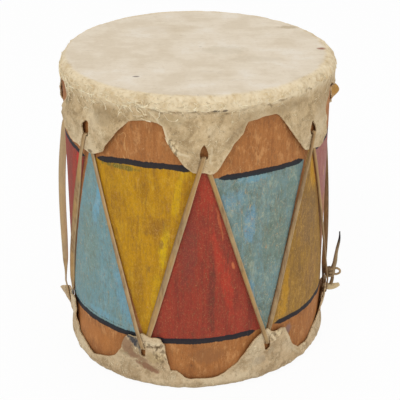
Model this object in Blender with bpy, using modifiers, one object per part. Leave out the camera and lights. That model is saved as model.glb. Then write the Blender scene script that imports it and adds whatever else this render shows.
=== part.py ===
"""Pueblo drum: a hollowed log, a rawhide head over each end and one flat thong laced between them.

Metres, +Z up. The origin is on the log's axis, on the outer face of the bottom head, and the front of
the drum faces -Y. Angles run round the drum from its front, positive towards +X. A depth is measured
along the drum from the outer face of a head towards the other head.
"""
import math

import bmesh
import bpy
from mathutils import Matrix, Vector

MM = 0.001

# Log
LOG_RADIUS = 123.0 * MM
LOG_LENGTH = 286.0 * MM
LOG_WALL = 10.0 * MM
RIM_ROUND = 5.0 * MM
BORE_ROUND = 3.0 * MM
ROUND_STEPS = 3

# How far the log grew out of a true circle: an oval and a three-sided swell
OVAL = 0.8 * MM
OVAL_TURN = 41.0
SWELL = 1.7 * MM
SWELL_TURN = 43.0

# Rawhide
HIDE = 1.2 * MM
SEAT_GAP = 0.3 * MM
TOP_RIM_BULGE = 2.5 * MM
BOTTOM_RIM_BULGE = 1.7 * MM
RIM_DEPTH = 9.0 * MM
NECK_DEPTH = 20.0 * MM
FLARE_START = 24.0 * MM
FLARE_END = 38.0 * MM
SKIRT_END = 76.0 * MM
SKIRT_RINGS = 8
RIM_STEPS = 4

# Lobes of each skirt, in order round the drum: angle, depth of the slot's lip, depth of the tip
TOP_LOBES = (
    (3.4, 54.6 * MM, 68.0 * MM),
    (54.8, 52.8 * MM, 68.4 * MM),
    (106.3, 52.0 * MM, 66.0 * MM),
    (157.7, 50.0 * MM, 64.0 * MM),
    (209.1, 53.0 * MM, 67.0 * MM),
    (260.6, 51.0 * MM, 65.0 * MM),
    (313.2, 48.3 * MM, 62.0 * MM),
)
BOTTOM_LOBES = (
    (32.1, 42.1 * MM, 58.5 * MM),
    (86.0, 40.0 * MM, 51.0 * MM),
    (136.0, 43.0 * MM, 57.0 * MM),
    (184.0, 42.0 * MM, 58.0 * MM),
    (235.0, 44.0 * MM, 59.0 * MM),
    (284.0, 43.0 * MM, 56.0 * MM),
    (338.3, 44.3 * MM, 58.0 * MM),
)

# Arches between each lobe and the next one round: depth, and how fast the sides leave the middle
TOP_ARCHES = (
    (22.8 * MM, 2.0),
    (22.0 * MM, 1.5),
    (23.0 * MM, 1.8),
    (24.0 * MM, 2.2),
    (22.0 * MM, 1.9),
    (22.5 * MM, 1.2),
    (22.0 * MM, 2.4),
)
BOTTOM_ARCHES = (
    (15.5 * MM, 1.5),
    (16.0 * MM, 1.4),
    (15.0 * MM, 1.6),
    (16.5 * MM, 1.3),
    (15.0 * MM, 1.5),
    (13.8 * MM, 1.6),
    (13.0 * MM, 1.3),
)
ARCH_STEPS = 12
PAST_TIP = 6.0

# Places where dried hide curls away from the log: angle, half width, start and end depth, lift
TOP_CURLS = ((92.0, 6.0, 24.0 * MM, 44.0 * MM, 9.0 * MM),)
BOTTOM_CURLS = (
    (86.0, 18.0, 16.0 * MM, 60.0 * MM, 8.0 * MM),
    (95.0, 4.5, 41.0 * MM, 51.0 * MM, 5.0 * MM),
    (284.0, 18.0, 20.0 * MM, 58.0 * MM, 6.0 * MM),
)

# Lacing slots
TOP_SLOT_LENGTH = 13.0 * MM
BOTTOM_SLOT_LENGTH = 12.0 * MM
SLOT_WIDTH = 6.0 * MM
SLOT_STEPS = 4
SLOT_STRAIGHT = 0.4

# Thong
THONG_WIDTH = 4.0 * MM
THONG_THICK = 1.5 * MM
THONG_CLEARANCE = 0.5 * MM
SPAN_STEPS = 10
TURN_STEPS = 7
TIP_CLEARANCE = 5.0 * MM
SLACK_SPAN = 10
SLACK_BOW = 8.5 * MM

# Share of the log's length that a strand crosses between two slots
SPAN_SHARE = 0.7

# Knot that closes the thong at the second bottom lobe, with its tail and its spare loop
KNOT_LOBE = 1
KNOT_HEIGHT = 61.5 * MM
KNOT_INSET = 0.5 * MM
KNOT_RADIUS = 4.4 * MM
KNOT_STRAND = 1.9 * MM
WRAP_STEPS = 13
TAIL_TIP_HEIGHT = 108.0 * MM
TAIL_TIP_RADIUS = 140.0 * MM
TAIL_INSET = 2.6 * MM
TAIL_ROOT = 2.3 * MM
TAIL_TIP = 0.9 * MM
TAIL_BOW = 1.5 * MM
TAIL_STEPS = 8
SPARE_LOOP_RADIUS = 3.6 * MM
SPARE_LOOP_STRAND = 1.2 * MM
LOOP_STEPS = 12

FACETS = 70
SHARP_ANGLE = 35.0

# Wraps of the knot: lean in degrees, rise above its middle and radius
KNOT_WRAPS = (
    (28.0, 1.4 * MM, KNOT_RADIUS),
    (-21.0, -1.5 * MM, KNOT_RADIUS - 0.5 * MM),
)

# Sizes that follow from the ones above
LOG_FOOT = HIDE + SEAT_GAP
DRUM_HEIGHT = LOG_LENGTH + 2 * LOG_FOOT
FACE_RADIUS = LOG_RADIUS - RIM_ROUND
NECK_RADIUS = LOG_RADIUS + SEAT_GAP + HIDE
TOP_RIM_RADIUS = NECK_RADIUS + TOP_RIM_BULGE
BOTTOM_RIM_RADIUS = NECK_RADIUS + BOTTOM_RIM_BULGE
SKIRT_RADIUS = LOG_RADIUS + 2 * THONG_CLEARANCE + THONG_THICK + HIDE
LACE_RADIUS = LOG_RADIUS + THONG_CLEARANCE + THONG_THICK / 2
LACE_OFFSET = THONG_CLEARANCE + THONG_THICK / 2

# How far out from the axis the skirt cutters start and end
CUT_FROM = LOG_RADIUS / 2
CUT_TO = LOG_RADIUS * 1.4

COLOURS = {
    "drum_shell": ((0.43, 0.17, 0.06, 1.0), 0.7),
    "top_head": ((0.72, 0.60, 0.42, 1.0), 0.6),
    "bottom_head": ((0.52, 0.40, 0.24, 1.0), 0.65),
    "lacing_thong": ((0.30, 0.20, 0.12, 1.0), 0.6),
}


def smooth_step(value, start, end):
    """Nothing before the start, one past the end and an even S between them."""
    share = min(max((value - start) / (end - start), 0.0), 1.0)
    return share * share * (3 - 2 * share)


def turn_between(angle, centre):
    """Shortest turn from a centre angle to an angle, in degrees."""
    return (angle - centre + 180) % 360 - 180


def place(angle, radius, height):
    """Point on the drum by its angle in degrees, its radius and its height, before the log's swell."""
    turn = math.radians(angle)
    return Vector((radius * math.sin(turn), -radius * math.cos(turn), height))


def swollen(point):
    """The same point on the log as it grew, a little out of round."""
    angle = math.degrees(math.atan2(point.x, -point.y))
    growth = OVAL * math.cos(math.radians(2 * (angle + OVAL_TURN)))
    growth += SWELL * math.cos(math.radians(3 * (angle + SWELL_TURN)))
    scale = 1 + growth / LOG_RADIUS
    return Vector((point.x * scale, point.y * scale, point.z))


def clear_scene():
    for item in list(bpy.data.objects):
        bpy.data.objects.remove(item, do_unlink=True)


def new_collection(name):
    group = bpy.data.collections.new(name)
    bpy.context.scene.collection.children.link(group)
    return group


def plain_material(name):
    colour, roughness = COLOURS[name]
    material = bpy.data.materials.new(name)
    material.use_nodes = True
    shader = material.node_tree.nodes["Principled BSDF"]
    shader.inputs["Base Color"].default_value = colour
    shader.inputs["Roughness"].default_value = roughness
    shader.inputs["Metallic"].default_value = 0.0
    return material


def add_mesh(name, mesh, group):
    item = bpy.data.objects.new(name, mesh)
    group.objects.link(item)
    return item


def evaluated_mesh(item):
    """Mesh of an object as its modifiers leave it."""
    bpy.context.view_layer.update()
    graph = bpy.context.evaluated_depsgraph_get()
    return bpy.data.meshes.new_from_object(item.evaluated_get(graph))


def turned_mesh(name, profile, closed):
    """Mesh turned about the Z axis from a profile of (radius, height) points."""
    count = len(profile)
    edges = [(i, (i + 1) % count) for i in range(count if closed else count - 1)]
    outline = bpy.data.meshes.new(name)
    outline.from_pydata([(radius, 0, height) for radius, height in profile], edges, [])
    guide = bpy.data.objects.new(name + "_profile", outline)
    bpy.context.scene.collection.objects.link(guide)
    screw = guide.modifiers.new("turn", "SCREW")
    screw.axis = "Z"
    screw.steps = FACETS
    screw.render_steps = FACETS
    screw.use_merge_vertices = True
    screw.merge_threshold = 0.01 * MM
    mesh = evaluated_mesh(guide)
    bpy.data.objects.remove(guide, do_unlink=True)
    for vertex in mesh.vertices:
        angle = math.degrees(math.atan2(vertex.co.x, -vertex.co.y))
        vertex.co = place(angle, vertex.co.xy.length, vertex.co.z)
    return mesh


def curve_mesh(name, splines, settings):
    """Mesh of a curve object with its caps welded on. Each spline is (points, radii, closed)."""
    data = bpy.data.curves.new(name, "CURVE")
    for key, value in settings.items():
        setattr(data, key, value)
    for points, radii, closed in splines:
        spline = data.splines.new("POLY")
        spline.points.add(len(points) - 1)
        for target, point, radius in zip(spline.points, points, radii):
            target.co = (*point, 1.0)
            target.radius = radius
        spline.use_cyclic_u = closed
    guide = bpy.data.objects.new(name + "_curve", data)
    bpy.context.scene.collection.objects.link(guide)
    mesh = evaluated_mesh(guide)
    bpy.data.objects.remove(guide, do_unlink=True)
    bpy.data.curves.remove(data)
    body = bmesh.new()
    body.from_mesh(mesh)
    bmesh.ops.remove_doubles(body, verts=body.verts, dist=0.01 * MM)
    bmesh.ops.recalc_face_normals(body, faces=body.faces)
    body.to_mesh(mesh)
    body.free()
    return mesh


def flat_cutter(name, outline, angle, near, far, group):
    """Cutter with an outline of (sideways, height) points, pushed out from the axis at an angle."""
    settings = {"dimensions": "2D", "fill_mode": "BOTH", "extrude": (far - near) / 2}
    points = [(side, height, 0) for side, height in outline]
    mesh = curve_mesh(name, [(points, [1.0] * len(points), True)], settings)
    turn = math.radians(angle)
    sideways = Vector((math.cos(turn), math.sin(turn), 0))
    outward = Vector((math.sin(turn), -math.cos(turn), 0))
    upward = Vector((0, 0, 1))
    frame = Matrix((sideways, upward, outward)).transposed().to_4x4()
    frame.translation = outward * (near + far) / 2
    mesh.transform(frame)
    return helper(name, mesh, group)


def helper(name, mesh, group):
    """Object that only cuts or joins, drawn as wire and left out of renders."""
    item = add_mesh(name, mesh, group)
    item.hide_render = True
    item.display_type = "WIRE"
    return item


def add_boolean(item, tool, operation):
    step = item.modifiers.new(tool.name, "BOOLEAN")
    step.operation = operation
    step.solver = "EXACT"
    step.object = tool
    return step


def quarter_round(radius, height, size, start):
    """Points of a quarter circle about a centre, from a start angle in degrees, turning clockwise."""
    points = []
    for step in range(ROUND_STEPS + 1):
        turn = math.radians(start - 90 * step / ROUND_STEPS)
        points.append((radius + size * math.cos(turn), height + size * math.sin(turn)))
    return points


def make_log(group):
    """Log hollowed right through, its rims rounded so that they don't cut the hide."""
    foot = LOG_FOOT
    head = LOG_FOOT + LOG_LENGTH
    bore = LOG_RADIUS - LOG_WALL
    profile = quarter_round(LOG_RADIUS - RIM_ROUND, head - RIM_ROUND, RIM_ROUND, 90)
    profile += quarter_round(LOG_RADIUS - RIM_ROUND, foot + RIM_ROUND, RIM_ROUND, 0)
    profile += quarter_round(bore + BORE_ROUND, foot + BORE_ROUND, BORE_ROUND, 270)
    profile += quarter_round(bore + BORE_ROUND, head - BORE_ROUND, BORE_ROUND, 180)
    mesh = turned_mesh("drum_shell", profile, True)
    for vertex in mesh.vertices:
        vertex.co = swollen(vertex.co)
    return finish_part("drum_shell", mesh, group)


def skirt_radius(depth):
    """Outer radius of the skirt: snug at its neck, then clear of the log for the thong under it."""
    return NECK_RADIUS + (SKIRT_RADIUS - NECK_RADIUS) * smooth_step(depth, FLARE_START, FLARE_END)


def curl_lift(angle, depth, curls):
    """How far dried hide stands off its skirt at one place."""
    lift = 0.0
    for centre, half_width, start, end, height in curls:
        spread = math.exp(-(turn_between(angle, centre) / half_width) ** 2)
        lift += height * spread * smooth_step(depth, start, end)
    return lift


def hide_profile(rim_radius):
    """Outer side of a head as (radius, depth) points, from the middle of the drum skin outwards."""
    points = [(0.0, 0.0)]
    for step in range(RIM_STEPS + 1):
        turn = math.radians(90 * step / RIM_STEPS)
        radius = FACE_RADIUS + (rim_radius - FACE_RADIUS) * math.sin(turn)
        points.append((radius, RIM_DEPTH * (1 - math.cos(turn))))
    middle = (RIM_DEPTH + NECK_DEPTH) / 2
    points.append(((rim_radius + NECK_RADIUS) / 2, middle))
    points.append((NECK_RADIUS, NECK_DEPTH))
    for ring in range(SKIRT_RINGS + 1):
        points.append((skirt_radius(ring_depth(ring)), ring_depth(ring)))
    return points


def ring_depth(ring):
    """Depth of one ring of a skirt."""
    return FLARE_START + (SKIRT_END - FLARE_START) * ring / SKIRT_RINGS


def ring_radius(angle, depth, curls):
    """Outer radius of a curled skirt at one facet's edge, straight between its rings."""
    place_among = (depth - FLARE_START) / (SKIRT_END - FLARE_START) * SKIRT_RINGS
    ring = min(max(int(place_among), 0), SKIRT_RINGS - 1)
    radii = []
    for edge in (ring_depth(ring), ring_depth(ring + 1)):
        radii.append(skirt_radius(edge) + curl_lift(angle, edge, curls))
    return radii[0] + (radii[1] - radii[0]) * (place_among - ring)


def hide_radius(angle, depth, curls):
    """Outer radius of a curled skirt anywhere, straight across each of its facets."""
    pitch = 360 / FACETS
    facet = math.floor((angle - 90) / pitch)
    first = 90 + facet * pitch
    near = place(first, ring_radius(first, depth, curls), 0)
    far = place(first + pitch, ring_radius(first + pitch, depth, curls), 0)
    return near.lerp(far, (angle - first) / pitch).length


def arch_outline(left, right, arch):
    """Outline of one arch as (angle, depth) points, from the tip of a lobe to the tip of the next."""
    arch_depth, power = arch
    centre = (left[0] + right[0]) / 2
    points = []
    for step in range(ARCH_STEPS + 1):
        share = 2 * step / ARCH_STEPS - 1
        tip = right[2] if share > 0 else left[2]
        angle = centre + share * (right[0] - left[0]) / 2
        rise = 1 - (1 - share * share) ** power
        points.append((angle, arch_depth + (tip - arch_depth) * rise))
    return centre, points


def height_at(depth, upper):
    return DRUM_HEIGHT - depth if upper else depth


def cut_arches(head, lobes, arches, upper, group):
    """Hand-cut arches that leave the lobes of a skirt standing."""
    for index, arch in enumerate(arches):
        left = lobes[index]
        right = lobes[(index + 1) % len(lobes)]
        if right[0] < left[0]:
            right = (right[0] + 360, right[1], right[2])
        centre, points = arch_outline(left, right, arch)
        points.insert(0, (left[0] - PAST_TIP, left[2]))
        points.append((right[0] + PAST_TIP, right[2]))
        points.append((right[0] + PAST_TIP, SKIRT_END + RIM_DEPTH))
        points.insert(0, (left[0] - PAST_TIP, SKIRT_END + RIM_DEPTH))
        outline = []
        for angle, depth in points:
            side = SKIRT_RADIUS * math.sin(math.radians(angle - centre))
            outline.append((side, height_at(depth, upper)))
        name = f"{head.name}_arch_{index + 1}"
        cutter = flat_cutter(name, outline, centre, CUT_FROM, CUT_TO, group)
        add_boolean(head, cutter, "DIFFERENCE")


def cut_slots(head, lobes, slot_length, upper, group):
    """Lacing slots, square at the lip that the thong bears on and pointed at the other end."""
    for index, (angle, lip, _) in enumerate(lobes):
        outline = [(SLOT_WIDTH / 2, lip)]
        for step in range(SLOT_STEPS + 1):
            share = step / SLOT_STEPS
            side = SLOT_WIDTH / 2 * (1 - share ** 2)
            outline.append((side, lip - slot_length * (SLOT_STRAIGHT + (1 - SLOT_STRAIGHT) * share)))
        outline += [(-side, depth) for side, depth in reversed(outline[:-1])]
        outline = [(side, height_at(depth, upper)) for side, depth in outline]
        name = f"{head.name}_slot_{index + 1}"
        cutter = flat_cutter(name, outline, angle, CUT_FROM, CUT_TO, group)
        add_boolean(head, cutter, "DIFFERENCE")


def make_head(name, upper, rim_radius, lobes, arches, curls, slot_length, group, cutters):
    """Rawhide head: a turned skin, curled where it dried, given its thickness and cut to shape."""
    profile = hide_profile(rim_radius)
    if not upper:
        profile.reverse()
    mesh = turned_mesh(name, [(radius, height_at(depth, upper)) for radius, depth in profile], False)
    for vertex in mesh.vertices:
        depth = DRUM_HEIGHT - vertex.co.z if upper else vertex.co.z
        radius = vertex.co.xy.length
        if depth > RIM_DEPTH:
            angle = math.degrees(math.atan2(vertex.co.x, -vertex.co.y))
            vertex.co = place(angle, radius + curl_lift(angle, depth, curls), vertex.co.z)
        vertex.co = swollen(vertex.co)
    head = finish_part(name, mesh, group)
    skin = head.modifiers.new("hide", "SOLIDIFY")
    skin.thickness = HIDE
    skin.offset = -1.0
    skin.use_even_offset = True
    cut_arches(head, lobes, arches, upper, cutters)
    cut_slots(head, lobes, slot_length, upper, cutters)
    return head


def thong_stops():
    """Slots in the order that the thong takes them: (angle, lip, tip, upper, curls)."""
    stops = []
    for top, bottom in zip(TOP_LOBES, BOTTOM_LOBES):
        stops.append((*top, True, TOP_CURLS))
        stops.append((*bottom, False, BOTTOM_CURLS))
    return stops


def hide_frame(stop, angle, depth):
    """Middle of the hide at a place: its radius, its height, and its outward and faceward ways."""
    _, _, _, upper, curls = stop
    probe = 1.0 * MM
    here = hide_radius(angle, depth, curls)
    ahead = hide_radius(angle, depth - probe, curls)
    faceward = Vector((ahead - here, height_at(depth - probe, upper) - height_at(depth, upper)))
    faceward.normalize()
    outward = Vector((faceward.y, -faceward.x)) if upper else Vector((-faceward.y, faceward.x))
    middle = Vector((here, height_at(depth, upper))) - outward * HIDE / 2
    return middle, outward, faceward


def path_point(angle, position, normal):
    """Path point and its normal from a (radius, height) position and direction at an angle."""
    flat = place(angle, normal.x, normal.y)
    return swollen(place(angle, position.x, position.y)), flat


def turn_points(stop, slant):
    """Thong round the lip of a slot, from outside the hide to beneath it."""
    angle, lip = stop[:2]
    middle, outward, faceward = hide_frame(stop, angle, lip)
    reach = HIDE / 2 + LACE_OFFSET
    advance = math.degrees(math.pi * reach * slant / SKIRT_RADIUS)
    points = []
    for step in range(TURN_STEPS):
        share = step / (TURN_STEPS - 1)
        turn = math.pi * share
        normal = outward * math.cos(turn) + faceward * math.sin(turn)
        points.append((angle + advance * (share - 0.5), middle + normal * reach, normal))
    return points


def over_flap_point(stop, angle, depth):
    """Thong lying on the outside of a flap."""
    middle, outward, _ = hide_frame(stop, angle, depth)
    return angle, middle + outward * (HIDE / 2 + LACE_OFFSET), outward


def taut_radius(angle, start, end):
    """Radius of a strand pulled straight between two places, or over the log where it meets it."""
    first = math.degrees(math.acos(min(1.0, LACE_RADIUS / start[1])))
    last = math.degrees(math.acos(min(1.0, LACE_RADIUS / end[1])))
    if start[0] + first < end[0] - last:
        off_log = max(start[0] + first - angle, angle - (end[0] - last), 0.0)
        return LACE_RADIUS / math.cos(math.radians(off_log))
    from_start = math.radians(angle - start[0])
    to_end = math.radians(end[0] - angle)
    across = start[1] * math.sin(from_start) + end[1] * math.sin(to_end)
    return start[1] * end[1] * math.sin(from_start + to_end) / across


def thong_path():
    """Middle line of the thong and its outward normals, once round the drum and back."""
    stops = thong_stops()
    slant = (LOG_RADIUS * math.radians(180 / len(TOP_LOBES))) / (LOG_LENGTH * SPAN_SHARE)
    path = []
    for index, stop in enumerate(stops):
        target = stops[(index + 1) % len(stops)]
        if target[0] < stop[0]:
            target = (target[0] + 360, *target[1:])
        turn = turn_points(stop, slant)
        path += turn
        start_angle, start, _ = turn[-1]
        end_angle, lip_end, _ = turn_points(target, slant)[0]
        near_tip = target[2] + TIP_CLEARANCE
        near_height = height_at(near_tip, target[3])
        run = (near_height - start.y) / (lip_end.y - start.y)
        tip_angle = start_angle + (end_angle - start_angle) * run
        end = over_flap_point(target, tip_angle, near_tip)
        bow = SLACK_BOW if index == SLACK_SPAN else 0.0
        for step in range(1, SPAN_STEPS + 1):
            share = step / (SPAN_STEPS + 1)
            angle = start_angle + (tip_angle - start_angle) * share
            radius = taut_radius(angle, (start_angle, start.x), (tip_angle, end[1].x))
            radius += bow * math.sin(math.pi * share) ** 3
            height = start.y + (near_height - start.y) * share
            path.append((angle, Vector((radius, height)), Vector((1.0, 0.0))))
        path.append(end)
        halfway = (near_tip + target[1]) / 2
        path.append(over_flap_point(target, (tip_angle + end_angle) / 2, halfway))
    return [path_point(*point) for point in path]


def ribbon_mesh(name, path):
    """Open strip of the thong's width along a closed path, with no twist between two rows."""
    body = bmesh.new()
    rows = []
    count = len(path)
    last = None
    for index, (point, normal) in enumerate(path):
        along = path[(index + 1) % count][0] - path[index - 1][0]
        side = normal.cross(along).normalized() * THONG_WIDTH / 2
        if last and side.dot(last) < 0:
            side.negate()
        last = side
        rows.append((body.verts.new(point - side), body.verts.new(point + side)))
    for index in range(count):
        near = rows[index]
        far = rows[(index + 1) % count]
        body.faces.new((near[0], near[1], far[1], far[0]))
    bmesh.ops.recalc_face_normals(body, faces=body.faces)
    mesh = bpy.data.meshes.new(name)
    body.to_mesh(mesh)
    body.free()
    return mesh


def tube_helper(name, points, radii, closed, group):
    """Round strand along points, to be joined to the thong."""
    settings = {"dimensions": "3D", "bevel_depth": 1.0, "bevel_resolution": 1, "use_fill_caps": True}
    return helper(name, curve_mesh(name, [(points, radii, closed)], settings), group)


def ring_points(centre, across, upward, radius, count):
    """Points of a closed ring spanned by two directions."""
    points = []
    for step in range(count):
        turn = 2 * math.pi * step / count
        points.append(centre + (across * math.cos(turn) + upward * math.sin(turn)) * radius)
    return points


def make_knot(thong, group):
    """Knot that closes the lacing: two crossed wraps, a tapering tail and a spare loop beside it."""
    angle, lip, _ = BOTTOM_LOBES[KNOT_LOBE]
    middle, _, _ = hide_frame((angle, lip, lip, False, BOTTOM_CURLS), angle, lip)
    centre = swollen(place(angle, middle.x - KNOT_INSET, KNOT_HEIGHT))
    outward = place(angle, 1.0, 0.0)
    upward = Vector((0, 0, 1))
    sideways = outward.cross(upward)
    tools = []
    for number, (tilt, rise, radius) in enumerate(KNOT_WRAPS, start=1):
        leaning = sideways * math.cos(math.radians(tilt)) + upward * math.sin(math.radians(tilt))
        wrap = ring_points(centre + upward * rise, outward, leaning, radius, WRAP_STEPS)
        radii = [KNOT_STRAND] * WRAP_STEPS
        tools.append(tube_helper(f"knot_wrap_{number}", wrap, radii, True, group))
    root = centre + outward * (KNOT_RADIUS - TAIL_INSET)
    tip = place(angle, TAIL_TIP_RADIUS, TAIL_TIP_HEIGHT)
    tail = []
    tail_radii = []
    for step in range(TAIL_STEPS):
        share = step / (TAIL_STEPS - 1)
        tail.append(root.lerp(tip, share) + outward * TAIL_BOW * math.sin(math.pi * share))
        tail_radii.append(TAIL_ROOT + (TAIL_TIP - TAIL_ROOT) * share)
    tools.append(tube_helper("tail", tail, tail_radii, False, group))
    loop_centre = centre + outward * (KNOT_RADIUS + SPARE_LOOP_RADIUS)
    loop = ring_points(loop_centre, outward, upward, SPARE_LOOP_RADIUS, LOOP_STEPS)
    tools.append(tube_helper("spare_loop", loop, [SPARE_LOOP_STRAND] * LOOP_STEPS, True, group))
    for tool in tools:
        add_boolean(thong, tool, "UNION")


def make_thong(group, helpers):
    """One flat thong, laced zigzag from head to head and tied to itself."""
    thong = finish_part("lacing_thong", ribbon_mesh("lacing_thong", thong_path()), group)
    strip = thong.modifiers.new("thickness", "SOLIDIFY")
    strip.thickness = THONG_THICK
    strip.offset = 0.0
    strip.use_even_offset = True
    make_knot(thong, helpers)
    return thong


def finish_part(name, mesh, group):
    item = add_mesh(name, mesh, group)
    mesh.materials.clear()
    mesh.materials.append(plain_material(name))
    mesh.shade_smooth()
    mesh.set_sharp_from_angle(angle=math.radians(SHARP_ANGLE))
    return item


def main():
    clear_scene()
    parts = new_collection("pueblo_drum")
    helpers = new_collection("cutters")
    make_log(parts)
    make_head(
        "top_head", True, TOP_RIM_RADIUS, TOP_LOBES, TOP_ARCHES, TOP_CURLS,
        TOP_SLOT_LENGTH, parts, helpers,
    )
    make_head(
        "bottom_head", False, BOTTOM_RIM_RADIUS, BOTTOM_LOBES, BOTTOM_ARCHES, BOTTOM_CURLS,
        BOTTOM_SLOT_LENGTH, parts, helpers,
    )
    make_thong(parts, helpers)


main()
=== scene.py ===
import math

import bmesh
import bpy
import numpy as np
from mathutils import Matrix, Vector, noise
from mathutils.bvhtree import BVHTree


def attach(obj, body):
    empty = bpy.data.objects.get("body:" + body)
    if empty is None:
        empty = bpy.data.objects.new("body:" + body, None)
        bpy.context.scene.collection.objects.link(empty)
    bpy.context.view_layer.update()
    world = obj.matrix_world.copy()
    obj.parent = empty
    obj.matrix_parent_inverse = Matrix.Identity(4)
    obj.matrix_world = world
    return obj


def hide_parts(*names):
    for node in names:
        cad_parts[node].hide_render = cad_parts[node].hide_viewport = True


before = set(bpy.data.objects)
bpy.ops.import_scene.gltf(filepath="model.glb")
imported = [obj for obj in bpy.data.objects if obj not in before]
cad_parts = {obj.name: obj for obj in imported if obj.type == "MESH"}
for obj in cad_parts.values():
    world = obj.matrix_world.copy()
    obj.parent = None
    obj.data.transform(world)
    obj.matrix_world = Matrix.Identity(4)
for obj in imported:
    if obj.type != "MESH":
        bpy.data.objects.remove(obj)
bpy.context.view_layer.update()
print("frame loaded")

# Sizes in millimetres, angles in degrees round the drum from its front (-Y) towards +X.
# A depth is measured along the drum from the outer face of a head towards the other head.
drum = {
    "height": 289.0,
    "logRadius": 123.0,
    "logFoot": 1.5,
    "rimRound": 5.0,
    "oval": (0.8, 41.0),
    "swell": (1.7, 43.0),
    "neck": 124.5,
    "skirt": 126.7,
    "flare": (24.0, 38.0),
    "face": 118.0,
    "rimDepth": 9.0,
    "hide": 1.2,
}

arcMm = math.radians(126.2)  # millimetres of hide in one degree


def smoothStep(value, start, end):
    share = np.clip((value - start) / (end - start), 0.0, 1.0)
    return share * share * (3 - 2 * share)


def turnBetween(angle, centre):
    return (angle - centre + 180.0) % 360.0 - 180.0


def logScale(angle):
    # how far the log grew out of round
    growth = drum["oval"][0] * np.cos(np.radians(2 * (angle + drum["oval"][1])))
    growth = growth + drum["swell"][0] * np.cos(np.radians(3 * (angle + drum["swell"][1])))
    return 1 + growth / drum["logRadius"]


def onCylinder(angle, radius, height):
    turn = np.radians(angle)
    return np.stack([radius * np.sin(turn), -radius * np.cos(turn), height + 0 * turn], axis=-1)


def onDrum(angle, radius, height):
    # metres on the drum, with the log's swell
    return onCylinder(angle, radius * logScale(angle), height) / 1000


def spotOn(angle, radius, height):
    return Vector(onDrum(np.array(angle), radius, height)) * 1000


def lumps(points, scale, seed):
    # soft noise at a list of (x, y, z) points in millimetres, about -0.5 to 0.5
    shift = Vector((seed * 7.31, seed * 3.17, seed * 5.77))
    return np.array([noise.noise(Vector(point) * scale + shift) for point in points])


def lineDistance(across, down, line):
    # least distance of many points to a line of (across, down) corners
    best = np.full(across.shape, 1e9)
    for (x0, y0), (x1, y1) in zip(line[:-1], line[1:]):
        runX = x1 - x0
        runY = y1 - y0
        share = np.clip(((across - x0) * runX + (down - y0) * runY) / (runX ** 2 + runY ** 2 + 1e-9), 0, 1)
        best = np.minimum(best, np.hypot(across - x0 - share * runX, down - y0 - share * runY))
    return best


def insideShape(across, down, shape):
    inside = np.zeros(across.shape, dtype=bool)
    for (x0, y0), (x1, y1) in zip(shape, shape[1:] + shape[:1]):
        if y0 == y1:
            continue
        crosses = (y0 > down) != (y1 > down)
        inside ^= crosses & (across < x0 + (down - y0) * (x1 - x0) / (y1 - y0))
    return inside


def addPiece(name, mesh):
    piece = bpy.data.objects.new(name, mesh)
    bpy.context.scene.collection.objects.link(piece)
    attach(piece, "root")
    return piece


def strandBody():
    body = bmesh.new()
    for name in ("across", "tip"):
        body.verts.layers.float.new(name)
    return body


def strandMesh(name, body):
    # the strands' mesh, from millimetres to metres
    bmesh.ops.recalc_face_normals(body, faces=body.faces)
    bmesh.ops.scale(body, vec=(0.001, 0.001, 0.001), verts=body.verts)
    mesh = bpy.data.meshes.new(name)
    body.to_mesh(mesh)
    body.free()
    mesh.shade_smooth()
    return mesh


def applyModifiers(piece):
    bpy.context.view_layer.update()
    graph = bpy.context.evaluated_depsgraph_get()
    ready = piece.evaluated_get(graph)
    mesh = bpy.data.meshes.new_from_object(ready, preserve_all_data_layers=True, depsgraph=graph)
    piece.modifiers.clear()
    piece.data = mesh


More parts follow.
